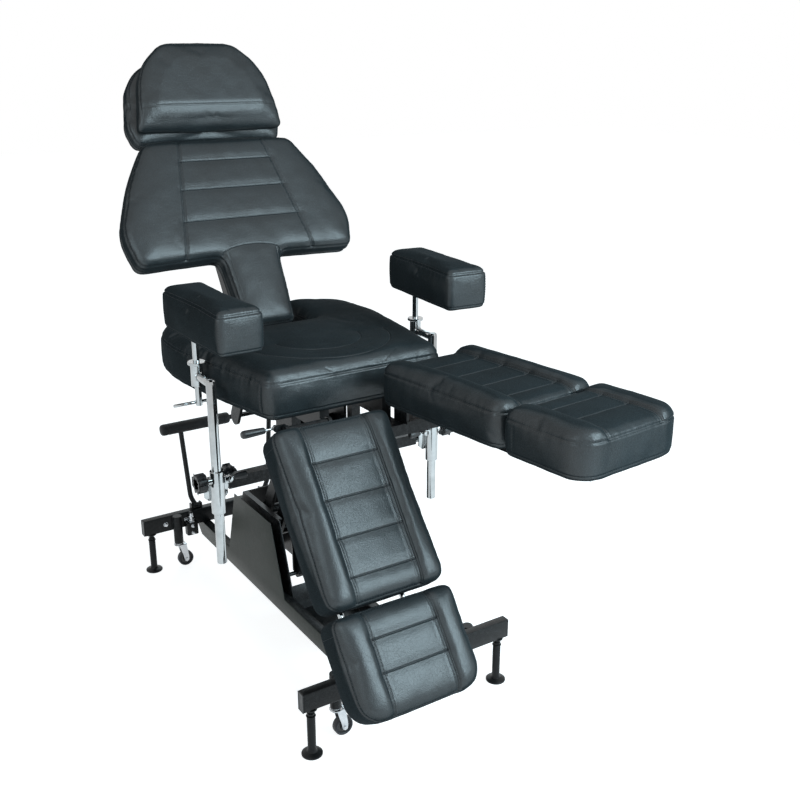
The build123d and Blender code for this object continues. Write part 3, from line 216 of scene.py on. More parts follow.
def _wire_wear(tree: bpy.types.NodeTree, place: bpy.types.NodeSocket) -> dict[str, bpy.types.NodeSocket]:
    """Paint rubbed thin on outer edges, broken up by noise."""
    shape = add_node(tree, "NewGeometry")
    breakup = add_node(tree, "TexNoise", {"Vector": place, "Scale": 90.0, "Detail": 6.0, "Roughness": 0.7})
    edge = spread(tree, shape.outputs["Pointiness"], 0.52, 0.62)
    return {"Mask": combine(tree, "MULTIPLY", edge, spread(tree, breakup.outputs["Fac"], 0.45, 0.65))}


def _wire_dust(tree: bpy.types.NodeTree, place: bpy.types.NodeSocket) -> dict[str, bpy.types.NodeSocket]:
    """Pale dust that lies on faces turned upwards."""
    shape = add_node(tree, "NewGeometry")
    split = add_node(tree, "SeparateXYZ", {0: shape.outputs["Normal"]})
    patches = add_node(tree, "TexNoise", {"Vector": place, "Scale": 40.0, "Detail": 6.0, "Roughness": 0.7})
    upward = spread(tree, split.outputs["Z"], 0.35, 1.0)
    return {"Mask": combine(tree, "MULTIPLY", upward, spread(tree, patches.outputs["Fac"], 0.42, 0.8))}


def _wire_plastic(tree: bpy.types.NodeTree, place: bpy.types.NodeSocket) -> dict[str, bpy.types.NodeSocket]:
    """Spark-eroded mould texture."""
    pits = add_node(tree, "TexVoronoi", {"Vector": place, "Scale": 900.0}, feature="F1")
    cloud = add_node(tree, "TexNoise", {"Vector": place, "Scale": 60.0, "Detail": 3.0})
    return {"Height": pits.outputs["Distance"], "Tone": spread(tree, cloud.outputs["Fac"], 0.3, 0.7),
            "Uneven": spread(tree, cloud.outputs["Fac"], 0.35, 0.65)}


_EFFECT_WIRING: dict[Effect, Callable[..., dict[str, bpy.types.NodeSocket]]] = {
    Effect.LEATHER: _wire_leather,
    Effect.COAT: _wire_coat,
    Effect.SMUDGE: _wire_smudge,
    Effect.WEAR: _wire_wear,
    Effect.DUST: _wire_dust,
    Effect.PLASTIC: _wire_plastic,
}


@dataclass(frozen=True)
class Finish:
    """A surface finish: two tones, a span of gloss and a relief, mixed by one shared effect."""

    name: str
    slot: str
    dark: Colour
    light: Colour
    effect: Effect
    roughness: tuple[float, float]
    relief: float
    relief_strength: float
    metallic: float = 0.0
    specular: float = 0.5
    wear: Colour | None = None
    dust: Colour | None = None
    grazing_roughness: float | None = None
    facing_coat: float = 0.0

    def material(self) -> bpy.types.Material:
        """The finish's material, made the first time it is asked for."""
        found = bpy.data.materials.get(self.name)
        if found:
            return found
        made = bpy.data.materials.new(self.name)
        made.use_nodes = True
        tree = made.node_tree
        shader = tree.nodes["Principled BSDF"]
        shader.inputs["Metallic"].default_value = self.metallic
        shader.inputs["Specular IOR Level"].default_value = self.specular
        place = add_node(tree, "TexCoord").outputs["Object"]
        grain = self._effect_node(tree, self.effect, place)
        colour = self._mix(tree, grain.outputs["Tone"], self.dark, self.light)
        for effect, tint in ((Effect.WEAR, self.wear), (Effect.DUST, self.dust)):
            if tint:
                colour = self._mix(tree, self._effect_node(tree, effect, place).outputs["Mask"], colour, tint)
        tree.links.new(colour, shader.inputs["Base Color"])
        tree.links.new(self._gloss(tree, grain.outputs["Uneven"]), shader.inputs["Roughness"])
        bump = add_node(tree, "Bump", {"Strength": self.relief_strength, "Distance": self.relief * MM,
                                       "Height": grain.outputs["Height"]})
        tree.links.new(bump.outputs[0], shader.inputs["Normal"])
        if self.facing_coat:
            fading = spread(tree, self._turned_away(tree), 0.1, 0.5, self.facing_coat, 0.0)
            tree.links.new(fading, shader.inputs["Coat Weight"])
            tree.links.new(bump.outputs[0], shader.inputs["Coat Normal"])
            shader.inputs["Coat Roughness"].default_value = 0.8 * self.roughness[0]
        made.diffuse_color = (*self.light, 1.0)
        return made

    def _gloss(self, tree: bpy.types.NodeTree, uneven: bpy.types.NodeSocket) -> bpy.types.NodeSocket:
        """The uneven roughness, duller at a flat angle where the finish asks for it."""
        gloss = spread(tree, uneven, 0.0, 1.0, *self.roughness)
        if self.grazing_roughness is None:
            return gloss
        flat = spread(tree, self._turned_away(tree), 0.22, 0.55)
        return add_node(tree, "Mix", {0: flat, 2: gloss, 3: self.grazing_roughness}).outputs[0]

    @staticmethod
    def _turned_away(tree: bpy.types.NodeTree) -> bpy.types.NodeSocket:
        """0 for a face seen head on, towards 1 for a face seen at a flat angle."""
        return add_node(tree, "LayerWeight", {"Blend": 0.5}).outputs["Facing"]

    @staticmethod
    def _effect_node(tree: bpy.types.NodeTree, effect: Effect, place: bpy.types.NodeSocket) -> bpy.types.Node:
        """Add a shared effect's group node, fed with a place."""
        made = tree.nodes.new("ShaderNodeGroup")
        made.node_tree = effect.group()
        tree.links.new(place, made.inputs["Vector"])
        return made

    @staticmethod
    def _mix(tree: bpy.types.NodeTree, factor: bpy.types.NodeSocket, low: object, high: object) -> object:
        """Mix two colours, each a plain colour or an output socket, by a varying factor."""
        low = (*low, 1.0) if isinstance(low, tuple) else low
        high = (*high, 1.0) if isinstance(high, tuple) else high
        return add_node(tree, "Mix", {0: factor, 6: low, 7: high}, data_type="RGBA").outputs[2]


LEATHER = Finish("black_leatherette", "vinyl", (0.0125, 0.0155, 0.0165), (0.032, 0.0405, 0.045),
                 Effect.LEATHER, (0.4, 0.5), 0.8, 0.5, specular=0.1, grazing_roughness=1.0, facing_coat=0.85)
BOARD = Finish("black_lining", "vinyl", (0.008, 0.008, 0.008), (0.016, 0.016, 0.016), Effect.COAT,
               (0.85, 0.95), 0.5, 0.6, specular=0.1)
THREAD = Finish("black_thread", "vinyl", (0.02, 0.024, 0.027), (0.04, 0.047, 0.052), Effect.COAT, (0.5, 0.65),
                0.2, 0.4, specular=0.4)
POWDER = Finish("black_powder_coat", "black_frame", (0.005, 0.0055, 0.006), (0.009, 0.0098, 0.0105),
                Effect.COAT, (0.27, 0.4), 0.1, 0.25, specular=0.2, wear=(0.04, 0.04, 0.042),
                dust=(0.02, 0.0195, 0.018))
OLIVE = Finish("olive_sheet_paint", "olive_sheet", (0.031, 0.035, 0.029), (0.042, 0.047, 0.039), Effect.COAT,
               (0.36, 0.5), 0.15, 0.3, specular=0.2, wear=(0.07, 0.072, 0.065))
CHROME = Finish("bright_chrome", "chrome", (0.36, 0.375, 0.38), (0.46, 0.475, 0.48), Effect.SMUDGE,
                (0.05, 0.14), 0.02, 0.12, metallic=1.0)
ZINC = Finish("zinc_plate", "chrome", (0.42, 0.44, 0.46), (0.6, 0.62, 0.64), Effect.SMUDGE, (0.2, 0.38), 0.05,
              0.2, metallic=1.0)
RUBBER = Finish("black_grip_rubber", "rubber", (0.008, 0.008, 0.009), (0.015, 0.016, 0.017), Effect.PLASTIC,
                (0.55, 0.7), 0.2, 0.4, specular=0.3, dust=(0.03, 0.03, 0.028))
PLASTIC = Finish("black_moulded_plastic", "black_plastic", (0.009, 0.01, 0.012), (0.016, 0.018, 0.02),
                 Effect.PLASTIC, (0.34, 0.46), 0.1, 0.3, specular=0.5)
TREAD = Finish("caster_tread", "tread", (0.012, 0.013, 0.017), (0.024, 0.026, 0.032), Effect.PLASTIC,
               (0.45, 0.6), 0.15, 0.3, specular=0.4, dust=(0.08, 0.078, 0.07))


# ---------------------------------------------------------------- metalwork


def sharpen(shape: bmesh.types.BMesh, angle: float = CRISP_ANGLE) -> None:
    """Shade a mesh smooth, but keep its corners above an angle crisp."""
    for face in shape.faces:
        face.smooth = True
    for edge in shape.edges:
        edge.smooth = len(edge.link_faces) != 2 or edge.calc_face_angle(0.0) < math.radians(angle)


def soften_edges(shape: bmesh.types.BMesh, offset: float, steps: int = 3, angle: float = 40.0) -> None:
    """Bevel every edge of a shape that is sharper than an angle."""
    sharp = [edge for edge in shape.edges if len(edge.link_faces) == 2
             and edge.calc_face_angle(0.0) > math.radians(angle)]
    bmesh.ops.bevel(shape, geom=sharp, offset=offset, offset_type="OFFSET", segments=steps, profile=0.5,
                    affect="EDGES", material=-1, clamp_overlap=True)


def rotation(axis: str, degrees: float) -> Matrix:
    """The placement turned about one axis."""
    return Matrix.Rotation(math.radians(degrees), 4, axis)


def aim(start: Vector, end: Vector) -> Matrix:
    """The placement with its origin at start and its Z axis towards end."""
    return Matrix.Translation(start) @ (end - start).to_track_quat("Z", "Y").to_matrix().to_4x4()


class Piece:
    """One visible piece, gathered from parts in millimetres and then handed to the frame."""

    def __init__(self, name: str, *finishes: Finish) -> None:
        """Start an empty piece.

        Args:
            name: the object's name.
            finishes: its finishes, in the order of its material slots.
        """
        self.name = name
        self.finishes = finishes
        self.mesh = bmesh.new()

    @contextmanager
    def part(self, finish: Finish, place: Matrix | None = None) -> Iterator[bmesh.types.BMesh]:
        """Give a fresh mesh to fill, and add it to the piece afterwards.

        Args:
            finish: the finish of all its faces.
            place: where its own coordinates lie.

        Returns:
            The mesh, as a context.
        """
        shape = bmesh.new()
        yield shape
        bmesh.ops.remove_doubles(shape, verts=shape.verts, dist=WELD_DISTANCE)
        bmesh.ops.recalc_face_normals(shape, faces=shape.faces)
        sharpen(shape)
        for face in shape.faces:
            face.material_index = self.finishes.index(finish)
        if place is not None:
            shape.transform(place)
            if place.determinant() < 0:
                bmesh.ops.reverse_faces(shape, faces=shape.faces)
        hold = bpy.data.meshes.new("part")
        shape.to_mesh(hold)
        shape.free()
        self.mesh.from_mesh(hold)
        bpy.data.meshes.remove(hold)

    def add(self, finish: Finish, form: Callable[..., None], *measures: object,
            at: Matrix | None = None) -> None:
        """Add a part that is one form.

        Args:
            finish: the finish of all its faces.
            form: what models it in a fresh mesh.
            measures: what the form needs besides the mesh.
            at: where the part's own coordinates lie.
        """
        with self.part(finish, at) as shape:
            form(shape, *measures)

    def hand_over(self, body: str, *nodes: str) -> bpy.types.Object:
        """Make the object, let it ride on a body and stand for nodes.

        Args:
            body: the frame's body that carries it.
            nodes: the frame's nodes that it replaces.

        Returns:
            The finished object.
        """
        self.mesh.transform(TO_FRAME)
        data = bpy.data.meshes.new(self.name)
        self.mesh.to_mesh(data)
        self.mesh.free()
        made = bpy.data.objects.new(self.name, data)
        bpy.context.scene.collection.objects.link(made)
        for finish in self.finishes:
            data.materials.append(finish.material())
        return enrol(made, body, self.finishes[0].slot, *nodes)


def enrol(made: bpy.types.Object, body: str, slot: str, *nodes: str) -> bpy.types.Object:
    """Tie a finished object to its body and hide the nodes that it stands for."""
    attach(made, body)
    if nodes:
        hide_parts(*nodes)
    LOG.info("%s: %d faces on %s", made.name, len(made.data.polygons), body)
    return made


def round_bar(shape: bmesh.types.BMesh, start: Sequence[float], end: Sequence[float], diameter: float,
              rim: float = 0.8, steps: int = 32) -> None:
    """Add a round bar with rolled rims between two points."""
    start, end = Vector(start), Vector(end)
    length = (end - start).length
    lathe(shape, ((0, 0), (diameter / 2 - rim, 0), (diameter / 2 - rim * 0.3, rim * 0.3), (diameter / 2, rim),
                  (diameter / 2, length - rim), (diameter / 2 - rim * 0.3, length - rim * 0.3),
                  (diameter / 2 - rim, length), (0, length)), aim(start, end), steps)


def lathe(shape: bmesh.types.BMesh, profile: Sequence[tuple[float, float]], place: Matrix,
          steps: int = 40) -> None:
    """Turn a profile of (radius, height) points about the placement's Z axis."""
    points = [shape.verts.new((radius, 0, height)) for radius, height in profile]
    edges = [shape.edges.new(pair) for pair in zip(points, points[1:])]
    before = set(shape.verts) - set(points)
    bmesh.ops.spin(shape, geom=points + edges, axis=(0, 0, 1), cent=(0, 0, 0), dvec=(0, 0, 0),
                   angle=math.tau, steps=steps, use_merge=True, use_duplicate=False)
    made = [vert for vert in shape.verts if vert not in before]
    bmesh.ops.remove_doubles(shape, verts=made, dist=0.0005)
    made = [vert for vert in shape.verts if vert not in before]
    bmesh.ops.transform(shape, matrix=place, verts=made)


def block(shape: bmesh.types.BMesh, low: Point, high: Point, rounding: float, steps: int = 3) -> None:
    """Add a rectangular bar between two corners, with rounded edges."""
    low, high = Vector(low), Vector(high)
    size = Matrix.Diagonal((*(high - low), 1.0))
    made = bmesh.new()
    bmesh.ops.create_cube(made, size=1.0, matrix=Matrix.Translation((low + high) / 2) @ size)
    soften_edges(made, rounding, steps)
    add_shape(shape, made)


def add_shape(shape: bmesh.types.BMesh, other: bmesh.types.BMesh) -> None:
    """Add one mesh to another and free it."""
    hold = bpy.data.meshes.new("hold")
    other.to_mesh(hold)
    other.free()
    shape.from_mesh(hold)
    bpy.data.meshes.remove(hold)


def plate(shape: bmesh.types.BMesh, outline: Sequence[tuple[float, float]], thickness: float, rounding: float,
          place: Matrix) -> None:
    """Add a flat plate: an outline raised along Z, with its edges eased."""
    made = bmesh.new()
    face = made.faces.new([made.verts.new((x, y, 0)) for x, y in outline])
    raised = bmesh.ops.extrude_face_region(made, geom=[face])["geom"]
    bmesh.ops.translate(made, vec=(0, 0, thickness),
                        verts=[v for v in raised if isinstance(v, bmesh.types.BMVert)])
    bmesh.ops.recalc_face_normals(made, faces=made.faces)
    soften_edges(made, rounding, 2)
    made.transform(place)
    add_shape(shape, made)


def on_side(sign: float, start: float) -> Matrix:
    """The placement that reads an outline as (y, z) and raises it along X, from a distance to one side."""
    turned = Matrix(((0, 0, sign, 0), (1, 0, 0, 0), (0, 1, 0, 0), (0, 0, 0, 1)))
    return turned @ Matrix.Translation((0, 0, start))


def bent_path(points: Sequence[Point], bend: float, steps: int = 8) -> list[Vector]:
    """Round the inner corners of a path.

    Args:
        points: the path's corners.
        bend: how far from each corner its bend starts.
        steps: how many points each bend gets.

    Returns:
        The points of the rounded path.
    """
    corners = [Vector(point) for point in points]
    path = [corners[0]]
    for before, here, after in zip(corners, corners[1:], corners[2:]):
        start = here + (before - here).normalized() * bend
        end = here + (after - here).normalized() * bend
        for step in range(steps + 1):
            share = step / steps
            path.append(start.lerp(here, share).lerp(here.lerp(end, share), share))
    return path + [corners[-1]]


def swept_tube(shape: bmesh.types.BMesh, path: Sequence[Vector], diameter: float, steps: int = 28) -> None:
    """Sweep a round section along a path by extruding its rim from point to point, and close both ends."""
    made = bmesh.new()
    frames = []
    turn = (path[1] - path[0]).to_track_quat("Z", "Y")
    for index, point in enumerate(path):
        ahead = path[min(index + 1, len(path) - 1)] - path[max(index - 1, 0)]
        turn = (turn @ Vector((0, 0, 1))).rotation_difference(ahead) @ turn
        frames.append(Matrix.Translation(point) @ turn.to_matrix().to_4x4())
    bmesh.ops.create_circle(made, cap_ends=False, radius=diameter / 2, segments=steps, matrix=frames[0])
    rim = list(made.edges)
    first = list(rim)
    for before, here in zip(frames, frames[1:]):
        grown = bmesh.ops.extrude_edge_only(made, edges=rim)["geom"]
        verts = {item for item in grown if isinstance(item, bmesh.types.BMVert)}
        rim = [item for item in grown if isinstance(item, bmesh.types.BMEdge) and set(item.verts) <= verts]
        bmesh.ops.transform(made, matrix=here @ before.inverted(), verts=list(verts))
    bmesh.ops.edgeloop_fill(made, edges=first)
    bmesh.ops.edgeloop_fill(made, edges=rim)
    add_shape(shape, made)


def hex_bolt(shape: bmesh.types.BMesh, place: Matrix, across: float, height: float,
             washer: float = 1.5) -> None:
    """Add a hexagon head with eased corners on a washer, looking along the placement's Z axis."""
    head = bmesh.new()
    bmesh.ops.create_cone(head, cap_ends=True, cap_tris=False, segments=6, radius1=across * 0.577,
                          radius2=across * 0.577, depth=height,
                          matrix=Matrix.Translation((0, 0, washer + height / 2)))
    soften_edges(head, across * 0.06, 2)
    head.transform(place)
    add_shape(shape, head)
    rim = across * 0.68
    lathe(shape, ((0, 0), (rim, 0), (rim, washer * 0.8), (rim - 0.4, washer), (0, washer)), place, 28)


def cap_screw(shape: bmesh.types.BMesh, place: Matrix, diameter: float, height: float) -> None:
    """Add a round socket-head screw with its recess."""
    outer, inner = diameter / 2, diameter * 0.27
    lathe(shape, ((0, 0), (outer, 0), (outer, height - 0.5), (outer - 0.5, height), (inner, height),
                  (inner, height * 0.45), (0, height * 0.45)), place, 24)


def fluted_knob(shape: bmesh.types.BMesh, place: Matrix, diameter: float, length: float, stud: float,
                flutes: int = 8) -> None:
    """Add a knob with scalloped sides, a domed face, a hub behind and its stud."""
    made = bmesh.new()
    steps = 9
    bmesh.ops.create_cone(made, cap_ends=True, cap_tris=False, segments=flutes * steps, radius1=diameter / 2,
                          radius2=diameter / 2, depth=length, matrix=Matrix.Translation((0, 0, length / 2)))
    for vert in made.verts:
        angle = math.atan2(vert.co.y, vert.co.x) * flutes
        scallop = max(0.0, math.cos(angle)) ** 2 * diameter * 0.085
        share = 1 - scallop / (diameter / 2)
        vert.co.x *= share
        vert.co.y *= share
    caps = [face for face in made.faces if len(face.verts) > 4]
    rims = {edge for face in caps for edge in face.edges}
    bmesh.ops.bevel(made, geom=list(rims), offset=2.2, offset_type="OFFSET", segments=3, profile=0.5,
                    affect="EDGES", material=-1)
    top = max(made.faces, key=lambda face: face.calc_center_median().z)
    for share, depth in ((0.16, -0.3), (0.1, -0.6), (0.3, 0.3)):
        bmesh.ops.inset_region(made, faces=[top], thickness=diameter * share / 2, depth=depth)
    made.transform(place)
    add_shape(shape, made)
    with_stud = ((0, -stud), (4.7, -stud), (5.0, -stud + 0.5), (5.0, -3.0), (diameter * 0.2, -3.0),
                 (diameter * 0.24, 0.5), (0, 0.5))
    lathe(shape, with_stud, place, 32)


def weld_bead(shape: bmesh.types.BMesh, start: Sequence[float], end: Sequence[float],
              width: float = 4.0) -> None:
    """Add a rippled weld bead along a straight joint."""
    start, end = Vector(start), Vector(end)
    length = (end - start).length
    count = max(3, round(length / (width * 0.55)))
    half = width / 2
    profile = [(0.0, 0.0)]
    for index in range(count):
        share = (index + 0.5) / count
        profile += [(half * 0.86, length * index / count + 0.1), (half, length * share)]
    lathe(shape, profile + [(half * 0.86, length - 0.1), (0.0, length)], aim(start, end), 10)


# ---------------------------------------------------------------- upholstery


@dataclass(frozen=True)
class Seam:
    """A sewn line across a pad's face, by its (x, y) places, or a loose crease if it has no stitches."""

    path: tuple[tuple[float, float], ...]
    depth: float = 2.2
    width: float = 1.3
    valley: float = 1.0
    rows: int = 2


@dataclass(frozen=True)
class Band:
    """A sewn line all round a pad's side, at a height above its underside."""

    height: float
    depth: float = 1.6
    width: float = 2.2
    rows: int = 2


@dataclass(frozen=True)
class Upright:
    """A sewn line up a pad's side at an (x, y) place on its outline."""

    x: float
    y: float
    low: float
    high: float
    depth: float = 1.4
    width: float = 2.2


def mitred(corners: Sequence[Corner], inset: float) -> list[tuple[Vector, float]]:
    """Set the corners of an outline in, each with the cut length of its rounding.

    Args:
        corners: (x, y, radius) in counter-clockwise order.
        inset: how far the outline is set in.

    Returns:
        For each corner its place and how far from it its rounding starts.
    """
    found = []
    for index, (x, y, radius) in enumerate(corners):
        here = Vector((x, y))
        come = (here - Vector(corners[index - 1][:2])).normalized()
        go = (Vector(corners[(index + 1) % len(corners)][:2]) - here).normalized()
        inward = Vector((-come.y - go.y, come.x + go.x))
        half_cosine = inward.length / 2
        side = 1 if come.x * go.y - come.y * go.x > 0 else -1
        rounding = max(radius - side * inset, 6.0)
        cut = rounding * math.sqrt(max(1 - half_cosine ** 2, 0)) / half_cosine
        found.append((here + inward * (inset / (2 * half_cosine ** 2)), cut))
    return found


def whole(half: Sequence[Corner]) -> tuple[Corner, ...]:
    """A whole outline from the corners of its +X half."""
    return (*half, *((-x, y, radius) for x, y, radius in reversed(half)))


def near_path(points: np.ndarray, path: Sequence[tuple[float, float]]) -> np.ndarray:
    """The distance of each (x, y) point from a path of straight runs."""
    nearest = np.full(len(points), 1e9)
    ends = np.asarray(path, float)
    for start, end in zip(ends, ends[1:]):
        run = end - start
        share = np.clip(((points - start) @ run) / (run @ run), 0, 1)
        nearest = np.minimum(nearest, np.linalg.norm(points - start - share[:, None] * run, axis=1))
    return nearest


def along(path: Sequence[tuple[float, float]], pitch: float) -> list[tuple[Vector, Vector]]:
    """Places and directions at an even pitch along a path of straight runs."""
    found = []
    spare = pitch / 2
    for start, end in zip(path, path[1:]):
        start, end = Vector(start), Vector(end)
        length = (end - start).length
        ahead = (end - start).normalized()
        while spare < length:
            found.append((start + ahead * spare, ahead))
            spare += pitch
        spare -= length
    return found


@dataclass
class Pad:
    """A stuffed pad in its own millimetre coordinates: underside at z 0, face towards +Z."""

    name: str
    corners: tuple[Corner, ...]
    edge: float
    crown: float
    crown_inset: float
    seams: tuple[Seam, ...] = ()
    bands: tuple[Band, ...] = ()
    uprights: tuple[Upright, ...] = ()
    voxel: float = 6.0
    cap: float = 8.0
    ruffle: float = 0.5
    foot_slope: tuple[float, float, float] | None = None
    side_insets: tuple[tuple[float, float], ...] = ((0.0, 7.0), (0.1, 1.5), (0.5, 0.0), (0.88, 1.0),
                                                    (1.0, 6.0))
    crown_shares: tuple[tuple[float, float], ...] = ((0.38, 0.12), (0.66, 0.3), (0.88, 0.6), (1.0, 1.0))
    spare: float = 3.0
    stitch_pitch: float = 6.5
    pressure: float = 4.0
    dish: tuple[float, float] | None = None

    def make(self) -> tuple[bpy.types.Mesh, bpy.types.Mesh]:
        """Model the pad and its thread.

        Returns:
            The pad's mesh and the mesh of its stitches, both in the pad's own coordinates, in metres.
        """
        shell = self._stuff(self._remesh(self._loft()))
        self._sew(shell)
        return shell, self._stitch(shell)

    def _levels(self) -> list[tuple[float, float]]:
        """The (height, inset) of each section, from the underside to the crown."""
        edge = self.edge - self.spare * 0.4
        levels = [(edge * share, inset + self.spare) for share, inset in self.side_insets]
        rim = levels[-1][1]
        for height, inset in self.crown_shares:
            levels.append((edge + self.crown * height, rim + (self.crown_inset - rim) * inset))
        return levels

    def _loft(self) -> bmesh.types.BMesh:
        """Bridge the rounded sections of the pad."""
        shape = bmesh.new()
        levels = self._levels()
        for height, inset in levels:
            self._section(shape, height, inset)
        for (low, _), (high, _) in zip(levels, levels[1:]):
            rims = [edge for edge in shape.edges
                    if all(min(abs(v.co.z - low), abs(v.co.z - high)) < 1e-4 for v in edge.verts)
                    and abs(edge.verts[0].co.z - edge.verts[1].co.z) < 1e-4]
            bmesh.ops.bridge_loops(shape, edges=rims)
        inner = [face for face in shape.faces if len(face.verts) > 4
                 and levels[0][0] + 0.1 < face.calc_center_median().z < levels[-1][0] - 0.1]
        bmesh.ops.delete(shape, geom=inner, context="FACES_ONLY")
        bmesh.ops.recalc_face_normals(shape, faces=shape.faces)
        shape.transform(Matrix.Scale(MM, 4))
        return shape

    def _section(self, shape: bmesh.types.BMesh, height: float, inset: float) -> bmesh.types.BMFace:
        """Add one rounded section: its mitred corners, each bevelled by its own cut."""
        places = mitred(self.corners, inset)
        verts = [shape.verts.new((*place, height)) for place, _ in places]
        shape.faces.new(verts)
        for vert, (_, cut) in zip(verts, places):
            bmesh.ops.bevel(shape, geom=[vert], offset=cut, offset_type="OFFSET", segments=9, profile=0.5,
                            affect="VERTICES", material=-1, clamp_overlap=False)

    def _remesh(self, shape: bmesh.types.BMesh) -> bpy.types.Object:
        """Rebuild the closed form on an even voxel grid and smooth its steps."""
        data = bpy.data.meshes.new(self.name)
        shape.to_mesh(data)
        shape.free()
        shell = bpy.data.objects.new(self.name + "_form", data)
        bpy.context.scene.collection.objects.link(shell)
        grid = shell.modifiers.new("grid", "REMESH")
        grid.mode = "VOXEL"
        grid.voxel_size = self.voxel * MM
        grid.use_smooth_shade = True
        self._settle(shell)
        even = bmesh.new()
        even.from_mesh(shell.data)
        for _ in range(4):
            bmesh.ops.smooth_vert(even, verts=even.verts, factor=0.5, use_axis_x=True, use_axis_y=True,
                                  use_axis_z=True)
        even.to_mesh(shell.data)
        even.free()
        return shell

    @staticmethod
    def _settle(shell: bpy.types.Object) -> None:
        """Put the result of an object's modifiers into its mesh and remove them."""
        ready = shell.evaluated_get(bpy.context.evaluated_depsgraph_get())
        kept = bpy.data.meshes.new_from_object(ready)
        old = shell.data
        shell.modifiers.clear()
        shell.data = kept
        bpy.data.meshes.remove(old)

    def _seam_distance(self, points: np.ndarray, rows_only: bool = False) -> np.ndarray:
        """How far each point lies, seen from above, from the nearest sewn line on the face."""
        nearest = np.full(len(points), 1e9)
        for seam in self.seams:
            if seam.rows or not rows_only:
                nearest = np.minimum(nearest, near_path(points[:, :2], seam.path))
        return nearest

    def _stuff(self, shell: bpy.types.Object) -> bpy.types.Mesh:
        """Swell the cover with cloth pressure, held at its seams and its board, then subdivide it once."""
        before = vertex_places(shell.data) / MM
        on_board = before[:, 2] < self.edge * BOARD_SHARE
        held = on_board | (self._seam_distance(before, True) < self.voxel * 0.8)
        self._swell(shell, held)
        after = vertex_places(shell.data) / MM
        move = after - before
        far = np.linalg.norm(move, axis=1)
        move *= np.minimum(1.0, self.cap / np.maximum(far, 1e-6))[:, None]
        after = self._regain(before + move, before)
        if self.dish:
            self._dish_face(after)
        if self.foot_slope:
            self._slope_foot(after)
        shell.data.vertices.foreach_set("co", (after * MM).astype(np.float32).ravel())
        finer = shell.modifiers.new("finer", "SUBSURF")
        finer.levels = finer.render_levels = 1
        self._settle(shell)
        made = shell.data
        bpy.data.objects.remove(shell)
        return made

    def _regain(self, points: np.ndarray, before: np.ndarray) -> np.ndarray:
        """Draw the stuffed cover out to the outline that it was cut for, its sides still drawn in."""
        for axis in (0, 1):
            low, high = before[:, axis].min() - self.spare, before[:, axis].max() + self.spare
            share = (high - low) / np.ptp(points[:, axis])
            points[:, axis] = low + (points[:, axis] - points[:, axis].min()) * share
        return points

    def _dish_face(self, points: np.ndarray) -> None:
        """Sink the middle of the face between two bolsters, and round the bolsters off outwards."""
        half, depth = self.dish
        wide = max(corner[0] for corner in self.corners)
        crest = (half + wide) / 2
        across = np.abs(points[:, 0])
        raised = np.clip((points[:, 2] - self.edge * FACE_SHARE) / (self.edge * (1 - FACE_SHARE)), 0, 1)
        middle = 1 - np.clip((across - half * 0.88) / (half * 0.34), 0, 1)
        outer = np.clip((across - crest) / (wide - crest), 0, 1) ** 2
        points[:, 2] -= raised * depth * (middle * middle * (3 - 2 * middle) + 0.55 * outer)

    def _swell(self, shell: bpy.types.Object, held: np.ndarray) -> None:
        """Run the cloth pressure on a pad."""
        grip = shell.vertex_groups.new(name="held")
        grip.add([int(index) for index in np.nonzero(held)[0]], 1.0, "REPLACE")
        cover = shell.modifiers.new("cover", "CLOTH")
        cloth = cover.settings
        cloth.quality = 4
        cloth.mass = 0.4
        cloth.tension_stiffness = cloth.compression_stiffness = 18.0
        cloth.shear_stiffness = 8.0
        cloth.bending_stiffness = 2.0
        cloth.use_pressure = True
        cloth.uniform_pressure_force = self.pressure
        cloth.vertex_group_mass = "held"
        cloth.effector_weights.gravity = 0.0
        cover.point_cache.frame_start, cover.point_cache.frame_end = 1, CLOTH_STEPS
        for step in range(1, CLOTH_STEPS + 1):
            bpy.context.scene.frame_set(step)
            bpy.context.view_layer.update()
        self._settle(shell)
        bpy.context.scene.frame_set(1)

    def _slope_foot(self, points: np.ndarray) -> None:
        """Thin the pad towards its foot, as a sewn wedge."""
        start, end, share = self.foot_slope
        slope = np.clip((start - points[:, 1]) / (start - end), 0, 1)
        points[:, 2] *= 1 - share * slope

    def _sew(self, shell: bpy.types.Mesh) -> None:
        """Refine the mesh beside its seams, then draw the seams and small creases into it."""
        self._refine(shell)
        points = vertex_places(shell) / MM
        normals = vertex_normals(shell)
        upward = np.clip((normals[:, 2] - 0.2) / 0.3, 0, 1)
        sideways = np.clip((0.85 - np.abs(normals[:, 2])) / 0.2, 0, 1)
        sink = np.zeros(len(points))
        for seam in self.seams:
            far = near_path(points[:, :2], seam.path)
            valley = seam.valley * np.exp(-(far / VALLEY_WIDTH) ** 2)
            sink += upward * (seam.depth * np.exp(-(far / seam.width) ** 2) + valley)
            if seam.rows == 2:
                sink += upward * 0.5 * seam.depth * np.exp(-((far - STITCH_GAP) / 1.0) ** 2)
                sink -= upward * 0.35 * seam.depth * np.exp(-((far - STITCH_GAP - 2.6) / 1.6) ** 2)
        for band in self.bands:
            far = np.abs(points[:, 2] - band.height)
            sink += sideways * (band.depth * np.exp(-(far / band.width) ** 2))
            sink -= sideways * 0.25 * band.depth * np.exp(-((far - 2.4 * band.width) / band.width) ** 2)
        for upright in self.uprights:
            far = np.hypot(points[:, 0] - upright.x, points[:, 1] - upright.y)
            inside = (points[:, 2] > upright.low) & (points[:, 2] < upright.high)
            sink += sideways * inside * upright.depth * np.exp(-(far / upright.width) ** 2)
        if self.ruffle:
            sink -= self._ruffles(points, sideways)
        points -= normals * sink[:, None]
        shell.vertices.foreach_set("co", (points * MM).astype(np.float32).ravel())
        shell.update()

